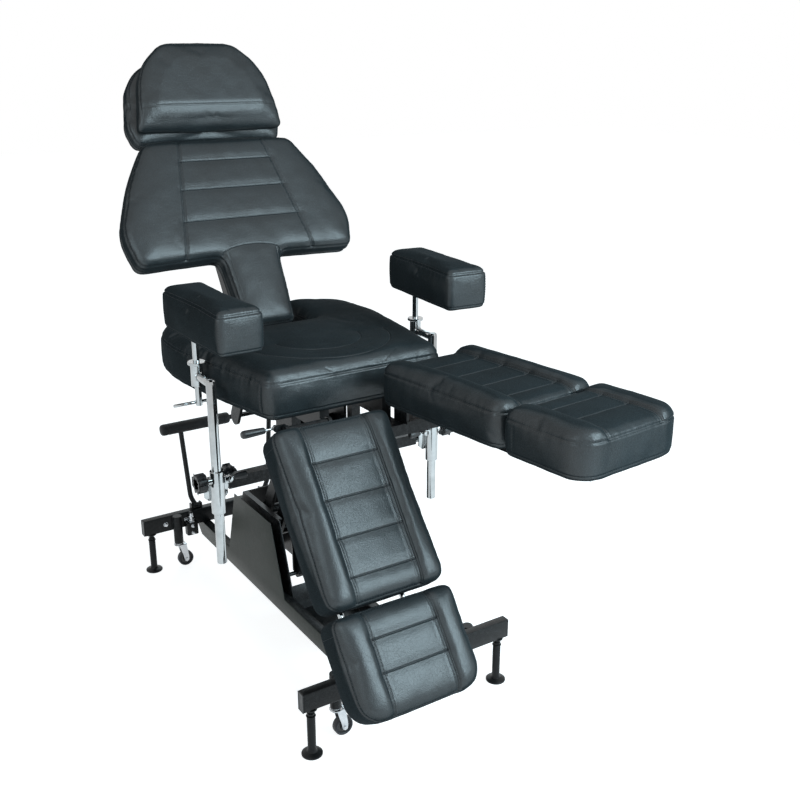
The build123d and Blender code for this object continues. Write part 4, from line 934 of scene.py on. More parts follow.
    def _ruffles(self, points: np.ndarray, sideways: np.ndarray) -> np.ndarray:
        """Shallow waves of the cover: broad ones everywhere and short puckers beside the rim seam."""
        rim = self.bands[0].height if self.bands else self.edge
        waves = np.array([noise.noise(Vector(place) / WAVE_LENGTH) for place in points])
        flat = points * np.array((1.0, 1.0, 0.25))
        puckers = np.array([noise.noise(Vector(place) / PUCKER_LENGTH + Vector((5, 9, 2))) for place in flat])
        close = np.exp(-(np.abs(points[:, 2] - rim) / 14) ** 2)
        return self.ruffle * (waves + 0.9 * puckers * close * (0.3 + sideways))

    def _refine(self, shell: bpy.types.Mesh) -> None:
        """Subdivide the faces that lie along the seams, twice close by."""
        for reach in REFINE_REACHES:
            self._refine_within(shell, reach)

    def _refine_within(self, shell: bpy.types.Mesh, reach: float) -> None:
        """Subdivide the faces within a reach of the seams."""
        points = vertex_places(shell) / MM
        upward = vertex_normals(shell)[:, 2] > 0.2
        close = (self._seam_distance(points) < reach) & upward
        for band in self.bands:
            close |= (np.abs(points[:, 2] - band.height) < reach * 0.75) & ~upward
        fine = bmesh.new()
        fine.from_mesh(shell)
        fine.verts.ensure_lookup_table()
        edges = [edge for edge in fine.edges if close[edge.verts[0].index] and close[edge.verts[1].index]]
        bmesh.ops.subdivide_edges(fine, edges=edges, cuts=1, use_grid_fill=True, smooth=0.0)
        bmesh.ops.triangulate(fine, faces=[face for face in fine.faces if len(face.verts) > 4])
        for face in fine.faces:
            face.smooth = True
        fine.to_mesh(shell)
        fine.free()
        shell.update()

    def _stitch(self, shell: bpy.types.Mesh) -> bpy.types.Mesh:
        """Lay the rows of thread beside each seam, on the sewn surface."""
        surface = bmesh.new()
        surface.from_mesh(shell)
        skin = BVHTree.FromBMesh(surface)
        surface.free()
        thread = bmesh.new()
        self._stitch_seams(thread, skin)
        self._stitch_bands(thread, skin)
        self._stitch_uprights(thread, skin)
        made = bpy.data.meshes.new(self.name + "_stitching")
        thread.to_mesh(made)
        thread.free()
        return made

    def _stitch_seams(self, thread: bmesh.types.BMesh, skin: BVHTree) -> None:
        """Lay the rows beside the seams of the face, from above."""
        for seam in self.seams:
            for side in stitch_rows(seam.rows):
                for place, ahead in along(seam.path, self.stitch_pitch):
                    aside = Vector((-ahead.y, ahead.x)) * side * STITCH_GAP
                    origin = Vector((*(place + aside), self.edge + self.crown + 40))
                    self._lay(thread, skin, origin, Vector((0, 0, -1)), Vector((*ahead, 0)))

    def _stitch_bands(self, thread: bmesh.types.BMesh, skin: BVHTree) -> None:
        """Lay the rows beside the bands that run round the pad, from outside."""
        outline = self._outline()
        for band in self.bands:
            for side in stitch_rows(band.rows):
                for place, ahead in along(outline, self.stitch_pitch):
                    outward = Vector((ahead.y, -ahead.x, 0))
                    origin = Vector((*place, band.height + 3.2 * side)) + outward * 12
                    self._lay(thread, skin, origin, -outward, Vector((*ahead, 0)))

    def _stitch_uprights(self, thread: bmesh.types.BMesh, skin: BVHTree) -> None:
        """Lay one row beside each upright joint, from outside."""
        for upright in self.uprights:
            foot = Vector((upright.x, upright.y, upright.low + 3))
            outward = Vector((math.copysign(1, upright.x), 0, 0))
            while foot.z < upright.high:
                origin = foot + Vector((0, 2.6, 0)) + outward * 20
                self._lay(thread, skin, origin, -outward, Vector((0, 0, 1)))
                foot.z += self.stitch_pitch

    @staticmethod
    def _lay(thread: bmesh.types.BMesh, skin: BVHTree, origin: Vector, ahead: Vector, run: Vector) -> None:
        """Lay one stitch where a ray meets the cover."""
        place, normal, _, reach = skin.ray_cast(origin * MM, ahead)
        if place is None or reach > STITCH_REACH or normal.dot(ahead) > -0.2:
            return
        run = (run - normal * run.dot(normal)).normalized()
        turn = Matrix((run, normal.cross(run), normal)).transposed().to_4x4()
        bmesh.ops.create_icosphere(thread, subdivisions=1, radius=1.0,
                                   matrix=Matrix.Translation(place + normal * STITCH_LIFT) @ turn
                                   @ Matrix.Diagonal((*STITCH_SIZE, 1.0)))

    def _outline(self) -> list[tuple[float, float]]:
        """The points of the pad's rounded outline, closed."""
        shape = bmesh.new()
        self._section(shape, 0.0, 0.0)
        shape.faces.ensure_lookup_table()
        points = [(loop.vert.co.x, loop.vert.co.y) for loop in shape.faces[0].loops]
        shape.free()
        return points + points[:1]


def stitch_rows(rows: int) -> tuple[int, ...]:
    """On which sides of a seam its rows of thread lie."""
    return ((), (0,), (-1, 1))[rows]


def vertex_places(data: bpy.types.Mesh) -> np.ndarray:
    """The vertex coordinates of a mesh as rows."""
    values = np.empty(len(data.vertices) * 3, np.float32)
    data.vertices.foreach_get("co", values)
    return values.reshape(-1, 3).astype(float)


def vertex_normals(data: bpy.types.Mesh) -> np.ndarray:
    """The vertex normals of a mesh as rows."""
    values = np.empty(len(data.vertices) * 3, np.float32)
    data.vertex_normals.foreach_get("vector", values)
    return values.reshape(-1, 3).astype(float)


def place_pad(shell: bpy.types.Mesh, thread: bpy.types.Mesh, name: str, place: Matrix, body: str, node: str,
              fill: float = 0.8) -> None:
    """Put a modelled pad and its thread where the frame has them.

    Args:
        shell: the pad's mesh in its own coordinates.
        thread: the mesh of its stitches.
        name: the name of the finished piece.
        place: the pad's placement, in millimetres from the leg hinge line.
        body: the frame's body that carries it.
        node: the frame's node that it replaces.
        fill: how tight it is stuffed; not used.
    """
    to_frame = TO_FRAME @ place @ Matrix.Scale(1 / MM, 4)
    for source, suffix, finishes in ((shell, "", (LEATHER, BOARD)), (thread, "_stitching", (THREAD,))):
        data = source.copy()
        data.name = name + suffix
        data.transform(to_frame)
        data.materials.clear()
        for finish in finishes:
            data.materials.append(finish.material())
        if not suffix:
            line_underside(data, source)
        made = bpy.data.objects.new(name + suffix, data)
        bpy.context.scene.collection.objects.link(made)
        for polygon in data.polygons:
            polygon.use_smooth = True
        enrol(made, body, "vinyl", *(() if suffix else (node,)))


def line_underside(data: bpy.types.Mesh, local: bpy.types.Mesh) -> None:
    """Give the faces on the board under a pad the lining's finish."""
    for polygon, own in zip(data.polygons, local.polygons):
        if own.normal.z < -0.8 and own.center.z < 4 * MM:
            polygon.material_index = 1


@dataclass
class SeatUpholstery:
    """The seat cushion: round lobes at the rear, a notch for the backrest's neck and sewn arcs."""

    bottom: float = 740.0
    edge: float = 96.0
    crown: float = 24.0
    arc_centre: float = 250.0
    arc_radii: tuple[float, ...] = (190.0, 115.0)

    def build(self) -> None:
        """Model the cushion and put it on the seat."""
        half = ((238, 26, 34), (278, 230, 1200), (311, 450, 500), (287, 600, 110), (170, 672, 24),
                (106, 672, 8), (106, 450, 20))
        pad = Pad("seat_cushion_cover", whole(half), self.edge, self.crown, 40, self._seams(),
                  (Band(88, 2.0, 2.4), Band(14, 1.2, 2.0, 1)), self._uprights(), voxel=7.5, cap=10,
                  ruffle=0.8, pressure=2.5)
        place_pad(*pad.make(), pad.name, Matrix.Translation((0, 0, self.bottom)), "seat", "seat_cushion")

    def _seams(self) -> tuple[Seam, ...]:
        """The sewn arcs and, between them, the loose creases of a used seat."""
        made = [Seam(self._arc(radius, 6, 174), 1.3, 1.7, 1.0, 1) for radius in self.arc_radii]
        for radius, start, end in ((152, 52, 128), (226, 58, 112), (82, 40, 120)):
            made.append(Seam(self._arc(radius, start, end), 0.7, 1.8, 0.5, 0))
        return tuple(made)

    def _arc(self, radius: float, start: float, end: float) -> tuple[tuple[float, float], ...]:
        """Points of an arc round the sitter's place, open to the rear."""
        angles = [math.radians(start + (end - start) * step / 28) for step in range(29)]
        return tuple((radius * math.cos(angle), self.arc_centre - radius * math.sin(angle))
                     for angle in angles)

    @staticmethod
    def _uprights() -> tuple[Upright, ...]:
        """The joints of the side band near the front corners and at the lobes."""
        return tuple(Upright(sign * x, y, 4, 88) for sign in (-1, 1) for x, y in ((243, 60), (302, 470)))


@dataclass
class BackUpholstery:
    """The backrest cushion: wings, neck, two long seams and three channels, in two layers."""

    hinge: tuple[float, float] = (514.0, 705.0)
    lean: float = 57.15
    rear_face: float = 29.0
    edge: float = 66.0
    crown: float = 14.0
    channels: tuple[float, ...] = (585.0, 501.0, 410.0)

    @property
    def place(self) -> Matrix:
        """The backrest's own frame: origin on its hinge, +Y up the back, +Z to the sitter."""
        return Matrix.Translation((0, *self.hinge)) @ rotation("X", self.lean)

    def build(self) -> None:
        """Model the cushion and put it on the backrest."""
        half = ((76, 98, 14), (88, 304, 18), (317, 296, 26), (340, 400, 120), (284, 545, 400), (216, 657, 44))
        pad = Pad("backrest_cushion_cover", whole(half), self.edge, self.crown, 40, self._seams(),
                  (Band(59, 2.2, 2.4), Band(22, 5.5, 5.0, 0), Band(8, 1.2, 2.0, 1)), voxel=7.5, cap=6,
                  ruffle=0.7, pressure=1.8)
        place_pad(*pad.make(), pad.name, self.place @ Matrix.Translation((0, 0, self.rear_face)), "backrest",
                  "backrest_cushion")

    def _seams(self) -> tuple[Seam, ...]:
        """The two long seams, the channels between them and the seams of the neck."""
        made = []
        for sign in (-1, 1):
            made.append(Seam(((sign * 121, 654), (sign * 190, 300)), 2.2, 1.4, 1.0))
            made.append(Seam(((sign * 72, 312), (sign * 62, 104)), 1.2, 1.6, 0.5, 1))
        for place in self.channels:
            reach = 121 + (652 - place) * 69 / 330
            made.append(Seam(((-reach, place), (reach, place)), 1.8, 1.8, 1.8, 1))
        arch = tuple((86 * math.cos(math.radians(a)), 306 + 24 * math.sin(math.radians(a)))
                     for a in range(0, 181, 12))
        made.append(Seam(arch, 1.4, 1.6, 0.8, 1))
        return tuple(made)


@dataclass
class HeadUpholstery:
    """The headrest: a rear cushion and the wedge-footed pillow on its front."""

    angle: float = 65.2
    pin: tuple[float, float] = (722.0, -25.0)
    rear_face: float = 20.0
    pillow_face: float = 82.0

    def build(self, back: BackUpholstery) -> None:
        """Model both cushions and put them on the headrest.

        Args:
            back: the backrest, whose frame carries the tilt pin.
        """
        pin = (back.place @ Vector((0, *self.pin)))
        place = Matrix.Translation(pin) @ rotation("X", self.angle)
        rear = Pad("headrest_cushion_cover",
                   whole(((214, -46, 26), (231, 10, 60), (202, 160, 120), (128, 208, 60))), 54, 8, 44,
                   bands=(Band(47, 2.0, 2.4), Band(19, 4.5, 4.5, 0)), voxel=6, cap=5, pressure=2.0,
                   uprights=tuple(Upright(sign * 228, 30, 4, 46) for sign in (-1, 1)))
        place_pad(*rear.make(), rear.name, place @ Matrix.Translation((0, 0, self.rear_face)), "headrest",
                  "headrest_cushion")
        seam = Seam(((-196, 44), (196, 44)), 0.8, 2.4, 0.3, 0)
        pillow = Pad("headrest_pillow_cover", whole(((218, -18, 14), (184, 160, 150), (106, 232, 64))), 50,
                     12, 40, (seam,), (Band(44, 1.8, 2.2),), voxel=6, cap=3, pressure=1.0,
                     foot_slope=(52, -18, 0.4))
        place_pad(*pillow.make(), pillow.name, place @ Matrix.Translation((0, 0, self.pillow_face)),
                  "headrest", "headrest_pillow")


@dataclass
class LegUpholstery:
    """The calf and foot pads of both leg rests."""

    hinge: tuple[float, float] = (157.0, 726.0)
    underside: float = 30.6
    half_width: float = 150.0
    edge: float = 96.0
    crown: float = 12.0
    start: float = 22.0
    calf_length: float = 404.0
    gap: float = 20.0
    fullness: float = 13.0
    foot_length: float = 212.0
    seam_half: float = 78.0
    seam_margin: float = 5.0

    def place(self, side: Side) -> Matrix:
        """One leg rest's own frame: origin on its hinge, -Y along the leg, +Z out of the pad."""
        return self.swing(side) @ rotation("X", LEG_DROPS[side])

    def swing(self, side: Side) -> Matrix:
        """The frame of one leg rest's swing bracket."""
        x, z = self.hinge
        return Matrix.Translation((side.sign * x, 0, z)) @ rotation("Z", side.sign * LEG_SPLAYS[side])

    def build(self) -> None:
        """Model one calf pad and one foot pad, and put them on both legs."""
        foot_start = self.start + self.calf_length + self.gap - self.fullness
        pads = (("calf_pad", "leg",
                 self._pad("calf", self.start, self.calf_length, 24, 34, (92, 176, 260, 344), 13.0)),
                ("foot_pad", "footrest",
                 self._pad("foot", foot_start, self.foot_length + self.fullness, 22, 56, (64, 134), 9.0)))
        for node, body, pad in pads:
            shell, thread = pad.make()
            for side in Side:
                place = self.place(side) @ Matrix.Translation((0, 0, self.underside))
                place_pad(shell, thread, f"{node}_cover_{side.label}", place, f"{body}_{side.label}",
                          f"{node}_{side.label}")

    def _pad(self, name: str, start: float, length: float, near: float, far: float,
             rows: tuple[float, ...], dish: float) -> Pad:
        """One pad with its long double seams, its channels and the joint of its side band."""
        half = ((self.half_width, -start - length, far), (self.half_width, -start, near))
        first, last = -start - self.seam_margin, self.seam_margin - start - length
        seams = [Seam(((sign * self.seam_half, last), (sign * self.seam_half, first)), 2.2, 1.4, 1.2)
                 for sign in (-1, 1)]
        for row in rows:
            seams.append(Seam(((-self.seam_half, -start - row), (self.seam_half, -start - row)), 1.8, 1.6,
                              1.6, 1))
        uprights = tuple(Upright(sign * self.half_width, -start - near - 14, 4, 86) for sign in (-1, 1))
        return Pad(name + "_pad_form", whole(half), self.edge, self.crown, 40, tuple(seams),
                   (Band(80, 2.0, 2.3), Band(12, 1.0, 2.0, 1)), uprights, voxel=6, cap=8, ruffle=0.6,
                   pressure=3.0, dish=(self.seam_half, dish))


@dataclass
class ArmUpholstery:
    """The boxed pads of the armrests."""

    bottom: float = 919.0
    front: float = -4.0
    length: float = 322.0
    half_width: float = 61.0

    def build(self) -> None:
        """Model one pad and put it on both armrests."""
        half = ((self.half_width, self.front, 18), (self.half_width, self.front + self.length, 18))
        seams = tuple(Seam(((sign * 20, 10), (sign * 34, 46)), 0.5, 3.0, 0.4, 0) for sign in (-1, 1))
        uprights = tuple(Upright(sign * (self.half_width - 5), y, 3, 84) for sign in (-1, 1)
                         for y in (self.front + 5, self.front + self.length - 5))
        sides = ((0.0, 7.0), (0.12, 1.5), (0.5, 0.0), (0.9, 1.0), (1.0, 6.0))
        pad = Pad("armrest_pad_form", whole(half), 94, 11, 26, seams,
                  (Band(89, 2.0, 2.2), Band(9, 1.0, 2.0, 1)), uprights, voxel=5, cap=5, ruffle=0.5,
                  side_insets=sides, pressure=1.8)
        shell, thread = pad.make()
        for side in Side:
            place = (Matrix.Translation((side.sign * ARM_X, ARM_POST_Y, self.bottom + ARM_LIFTS[side]))
                     @ rotation("Z", -side.sign * ARM_TOES[side])
                     @ Matrix.Translation((0, -ARM_POST_Y, 0)))
            place_pad(shell, thread, f"armrest_pad_cover_{side.label}", place, f"arm_pad_{side.label}",
                      f"armrest_pad_{side.label}", 0.9)


# ---------------------------------------------------------------- base


@dataclass
class WeldedBase:
    """Two crossbars on two long rails, with end plugs, sockets and bolts."""

    half_length: float = 291.5
    bottom: float = 125.0
    top: float = 175.0
    depth: float = 25.0
    bars: tuple[float, float] = (-197.0, 845.0)
    rail_inner: float = 75.0
    rail_outer: float = 100.0
    rail_rear: float = 892.0
    socket_x: float = 190.0
    foot_x: float = 268.0

    def build(self) -> None:
        """Model the crossbars, the rails and the end plugs."""
        self._crossbars()
        self._rails()
        self._plugs()

    def _crossbars(self) -> None:
        """Both crossbars with their caster sockets, welds and bolts."""
        piece = Piece("crossbars_tube", POWDER, ZINC)
        for y, out in zip(self.bars, (1, -1)):
            socket_y = y + self.depth + 11 if out > 0 else y - 11
            piece.add(POWDER, block, (-self.half_length, y, self.bottom),
                      (self.half_length, y + self.depth, self.top), 3.0)
            for sign in (-1, 1):
                x = sign * self.socket_x
                piece.add(POWDER, lathe,
                          ((5.6, 84), (13.2, 84), (14, 84.8), (14, 174), (13.2, 174.8), (0, 174.8)),
                          Matrix.Translation((x, socket_y, 0)))
                with piece.part(POWDER) as shape:
                    for edge in (-1, 1):
                        weld_bead(shape, (x + edge * 12, socket_y - out * 9, 128),
                                  (x + edge * 12, socket_y - out * 9, 172))
                piece.add(POWDER, lathe, ((6.2, 121.5), (14, 121.5), (15, 122.5), (15, 125.4), (6.2, 125.4)),
                          Matrix.Translation((sign * self.foot_x, y + self.depth / 2, 0)))
        for sign in (-1, 1):
            for inner in (224, 158):
                place = Matrix.Translation((sign * inner, self.bars[1], 150)) @ rotation("X", 90)
                piece.add(ZINC, hex_bolt, place, 11, 4.5)
        piece.hand_over("base", "crossbars")

    def _rails(self) -> None:
        """Both long rails, mitred at the tail, welded under the crossbars."""
        piece = Piece("base_rails_tube", POWDER)
        low, rear = self.bottom - 50, self.rail_rear
        for sign in (-1, 1):
            inner, outer = self.rail_inner, self.rail_outer
            outline = ((self.bars[0], low), (rear - 27, low), (rear, low + 27), (rear, self.bottom),
                       (self.bars[0], self.bottom))
            piece.add(POWDER, plate, outline, outer - inner, 2.5, on_side(sign, inner))
            with piece.part(POWDER) as shape:
                for y in self.bars:
                    weld_bead(shape, (sign * (outer + 0.5), y + 2, self.bottom - 0.5),
                              (sign * (outer + 0.5), y + self.depth - 2, self.bottom - 0.5))
        piece.hand_over("base", "base_rails")

    def _plugs(self) -> None:
        """The plastic plugs in the crossbar ends."""
        piece = Piece("end_caps_plug", PLASTIC)
        for y in self.bars:
            for sign in (-1, 1):
                x = sign * (self.half_length + 1)
                with piece.part(PLASTIC) as shape:
                    made = bmesh.new()
                    bmesh.ops.create_cube(made, size=1.0,
                                          matrix=Matrix.Translation((x, y + self.depth / 2, 150))
                                          @ Matrix.Diagonal((2.4, self.depth - 0.6, 49.4, 1)))
                    soften_edges(made, 0.9, 3)
                    face = max(made.faces, key=lambda item: sign * item.calc_center_median().x)
                    bmesh.ops.inset_region(made, faces=[face], thickness=3.5, depth=0)
                    bmesh.ops.inset_region(made, faces=[face], thickness=0.8, depth=-0.7)
                    add_shape(shape, made)
        piece.hand_over("base", "end_caps")


@dataclass
class LevellingFeet:
    """The four screw feet."""

    x: float = 268.0
    rows: tuple[tuple[str, float], ...] = (("front", -184.5), ("rear", 857.5))

    def build(self) -> None:
        """Model each foot as a turned piece with a locknut."""
        for row, y in self.rows:
            for side in Side:
                piece = Piece(f"levelling_foot_turned_{row}_{side.label}", POWDER)
                place = Matrix.Translation((side.sign * self.x, y, 0))
                profile = ((0, 0), (24, 0), (25, 1), (25, 4.2), (24, 5.2), (17, 7.0), (12.5, 9.2),
                           (10.6, 12.5), (10, 16), (10, 103.5), (9.2, 105), (6, 105), (6, 151), (0, 151))
                piece.add(POWDER, lathe, profile, place, 44)
                piece.add(POWDER, hex_bolt, place @ Matrix.Translation((0, 0, 104.5)), 17, 7, 1.5)
                piece.hand_over(f"foot_{row}_{side.label}", f"levelling_foot_{row}_{side.label}")


@dataclass
class Casters:
    """The four small swivel casters behind the crossbars."""

    x: float = 190.0
    trail: float = 17.0
    axle_z: float = 27.0
    rows: tuple[tuple[str, float], ...] = (("front", -161.0), ("rear", 834.0))

    def build(self) -> None:
        """Model each fork and each wheel."""
        for row, y in self.rows:
            for side in Side:
                place = Matrix.Translation((side.sign * self.x, y, 0))
                if side is Side.LEFT:
                    place = place @ rotation("Z", 180)
                self._fork(place, row, side)
                self._wheel(place, row, side)

    def _fork(self, place: Matrix, row: str, side: Side) -> None:
        """The stem, the ball race and the pressed fork with its axle bolt."""
        piece = Piece(f"caster_fork_pressed_{row}_{side.label}", ZINC)
        stem = ((0, 76.7), (12, 76.7), (15.6, 77.2), (16, 78.2), (16, 79.6), (14.6, 80.6), (12, 81.6),
                (12, 83.4), (7.6, 83.7), (5.5, 83.7), (5.5, 123), (4.8, 124), (0, 124))
        piece.add(ZINC, lathe, stem, Matrix.Identity(4), 36, at=place)
        cheek = ((-4, 79.6), (19, 79.6), (25, 34), (23.5, 24), (17, 18.5), (10.5, 24), (6, 44))
        for y in (-14, 11):
            turned = Matrix.Translation((0, y + 3, 0)) @ rotation("X", 90)
            piece.add(ZINC, plate, cheek, 3.0, 0.8, turned, at=place)
        piece.add(ZINC, block, (-6, -14, 76.8), (21, 14, 79.7), 1.2, at=place)
        for sign in (-1, 1):
            turned = Matrix.Translation((self.trail, sign * 13.6, self.axle_z)) @ rotation("X", -sign * 90)
            piece.add(ZINC, hex_bolt, turned, 10, 2.2, 0.8, at=place)
        piece.hand_over(f"fork_{row}_{side.label}", f"caster_fork_{row}_{side.label}")

    def _wheel(self, place: Matrix, row: str, side: Side) -> None:
        """The dark tread on its moulded hub."""
        piece = Piece(f"caster_wheel_turned_{row}_{side.label}", TREAD, PLASTIC)
        turned = place @ Matrix.Translation((self.trail, 0, self.axle_z)) @ rotation("X", 90)
        tyre = ((17.5, -7.6), (19.5, -9.4), (22.2, -9.6), (23.7, -7.4), (24, -4), (24, 4), (23.7, 7.4),
                (22.2, 9.6), (19.5, 9.4), (17.5, 7.6))
        piece.add(TREAD, lathe, (*tyre, tyre[0]), Matrix.Identity(4), 48, at=turned)
        hub = ((4.1, -9.9), (9.4, -9.9), (10, -9.2), (10.6, -6.4), (16.6, -5.6), (17.6, -7.4), (17.6, 7.4),
               (16.6, 5.6), (10.6, 6.4), (10, 9.2), (9.4, 9.9), (4.1, 9.9))
        piece.add(PLASTIC, lathe, (*hub, hub[0]), Matrix.Identity(4), 40, at=turned)
        piece.hand_over(f"wheel_{row}_{side.label}", f"caster_wheel_{row}_{side.label}")


# ---------------------------------------------------------------- lift and pump


@dataclass
class HousingCladding:
    """The olive outer sheets, flush from the housing's rim to the rails' feet, the front wall, and a dark pan
    between the rails that is painted shade for the shadow under the seat.
    """

    inner: float = 100.2
    outer: float = 102.0
    rim: float = 325.0
    shoulder: float = 124.0
    foot: float = 76.0

    def build(self) -> None:
        """Model both side sheets, the wall between them and, before it, the dark pan of painted shade."""
        piece = Piece("lift_housing_cladding", OLIVE, POWDER)
        outline = ((-196, self.foot), (864, self.foot), (891, self.foot + 27), (891, self.shoulder),
                   (643, self.shoulder), (582, self.rim), (345, self.rim), (278, self.shoulder),
                   (-196, self.shoulder))
        for sign in (-1, 1):
            piece.add(OLIVE, plate, outline, self.outer - self.inner, 0.5, on_side(sign, self.inner))
        wall = ((267, 88), (270, 88), (290.7, 150), (287.7, 150))
        piece.add(POWDER, plate, wall, 148, 0.4, on_side(1, -74))
        # The pan is a dark sheet between the rails: painted shade standing in for the shadow that the seat
        # casts there.
        piece.add(POWDER, block, (-74.5, 60, 84), (74.5, 268, 87), 0.8)
        piece.hand_over("base")


@dataclass
class LiftDressing:
    """The finishes of the lift's frame nodes, and the rings on its seat pins."""

    seat_pivots: tuple[tuple[float, float], ...] = ((262, 559.8), (302, 609.8))

    def build(self) -> None:
        """Dress the nodes and add the fasteners."""
        for name in ("lift_housing", "seat_frame", "lift_arm_lower", "lift_arm_upper", "armrest_bar",
                     "backrest_frame", "pump_unit", "leg_frame_left", "leg_frame_right", "leg_bracket_left",
                     "leg_bracket_right", "headrest_slide", "headrest_bracket", "lift_cylinder",
                     "recline_strut_body"):
            dress(name, POWDER)
        for name in ("lift_rod", "recline_strut_rod", "foot_slide_left", "foot_slide_right"):
            dress(name, CHROME)
        self._seat_pins()

    def _seat_pins(self) -> None:
        """Retaining rings on the seat's lift pins."""
        piece = Piece("lift_pin_rings", ZINC)
        for sign in (-1, 1):
            turn = rotation("Y", sign * 90)
            for y, z in self.seat_pivots:
                piece.add(ZINC, lathe, ((0, 0), (7.4, 0), (8, 0.6), (8, 1.6), (6.6, 2.6), (0, 2.6)),
                          Matrix.Translation((sign * 82, y, z)) @ turn, 28)
        piece.hand_over("seat")


def dress(name: str, finish: Finish) -> None:
    """Give every material slot of a frame node one finish."""
    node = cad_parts[name]
    if not node.data.materials:
        node.data.materials.append(finish.material())
    for slot in node.material_slots:
        slot.material = finish.material()


@dataclass
class PumpLever:
    """The kneed lever that pumps the lift up, with its long grip, and the pump's valve fittings."""

    y: float = 857.5
    foot: tuple[float, float] = (118.0, 184.0)
    knee: tuple[float, float] = (133.0, 217.0)
    top: tuple[float, float] = (150.0, 454.0)
    rod: float = 15.0
    grip: float = 35.0
    grip_span: tuple[float, float] = (-212.0, 10.0)
    valve: tuple[float, float] = (-146.0, 832.0)

    def build(self) -> None:
        """Model the bent lever, its grip and what surrounds its foot."""
        piece = Piece("pump_lever_bent", POWDER)
        corners = [(-self.foot[0], self.y, self.foot[1]), (-self.knee[0], self.y, self.knee[1]),
                   (-self.top[0], self.y, self.top[1])]
        piece.add(POWDER, swept_tube, bent_path(corners, 14), self.rod)
        right = [(self.foot[0], self.y, self.foot[1]), (self.knee[0], self.y, self.knee[1]),
                 (self.top[0] - 1, self.y, self.top[1]), (0, self.y, self.top[1])]
        piece.add(POWDER, swept_tube, bent_path(right, 13), self.rod)
        for sign in (-1, 1):
            piece.add(POWDER, round_bar, (sign * 105.5, self.y, self.foot[1]),
                      (sign * 130.5, self.y, self.foot[1]), 18, 1.5)
        piece.hand_over("pump_lever", "pump_lever")
        self._build_grip()
        self._build_valve()

    def _build_grip(self) -> None:
        """The rubber grip, rounded at both ends, with a moulding ring near each."""
        piece = Piece("pump_grip_moulded", RUBBER)
        length, half = self.grip_span[1] - self.grip_span[0], self.grip / 2
        profile = [(0, 0), (half - 9, 0), (half - 4, 1.2), (half - 1.2, 4), (half, 9), (half, 20),
                   (half - 0.7, 21), (half - 0.7, 23), (half, 24), (half, length - 24),
                   (half - 0.7, length - 23), (half - 0.7, length - 21), (half, length - 20),
                   (half, length - 9), (half - 1.2, length - 4), (half - 4, length - 1.2), (half - 9, length),
                   (0, length)]
        place = Matrix.Translation((self.grip_span[0], self.y, self.top[1])) @ rotation("Y", 90)
        piece.add(RUBBER, lathe, profile, place, 48)
        piece.hand_over("pump_lever", "pump_grip")

    def _build_valve(self) -> None:
        """The pump block's fittings, its bleed screw and two small bolts in front of the crossbar."""
        piece = Piece("pump_valve_fittings", ZINC, POWDER)
        piece.add(ZINC, hex_bolt, Matrix.Translation((*self.valve, 145)), 15, 8, 2)
        piece.add(ZINC, lathe, ((5, 0), (7.5, 0), (8, 1), (8, 11), (6.5, 13), (6.5, 22), (0, 22)),
                  Matrix.Translation((*self.valve, 153)), 28)
        for z in (112, 136):
            place = Matrix.Translation((self.valve[0], 819, z)) @ rotation("X", 90)
            piece.add(ZINC, hex_bolt, place, 9, 4, 1)
        piece.hand_over("base")


# ---------------------------------------------------------------- armrest supports


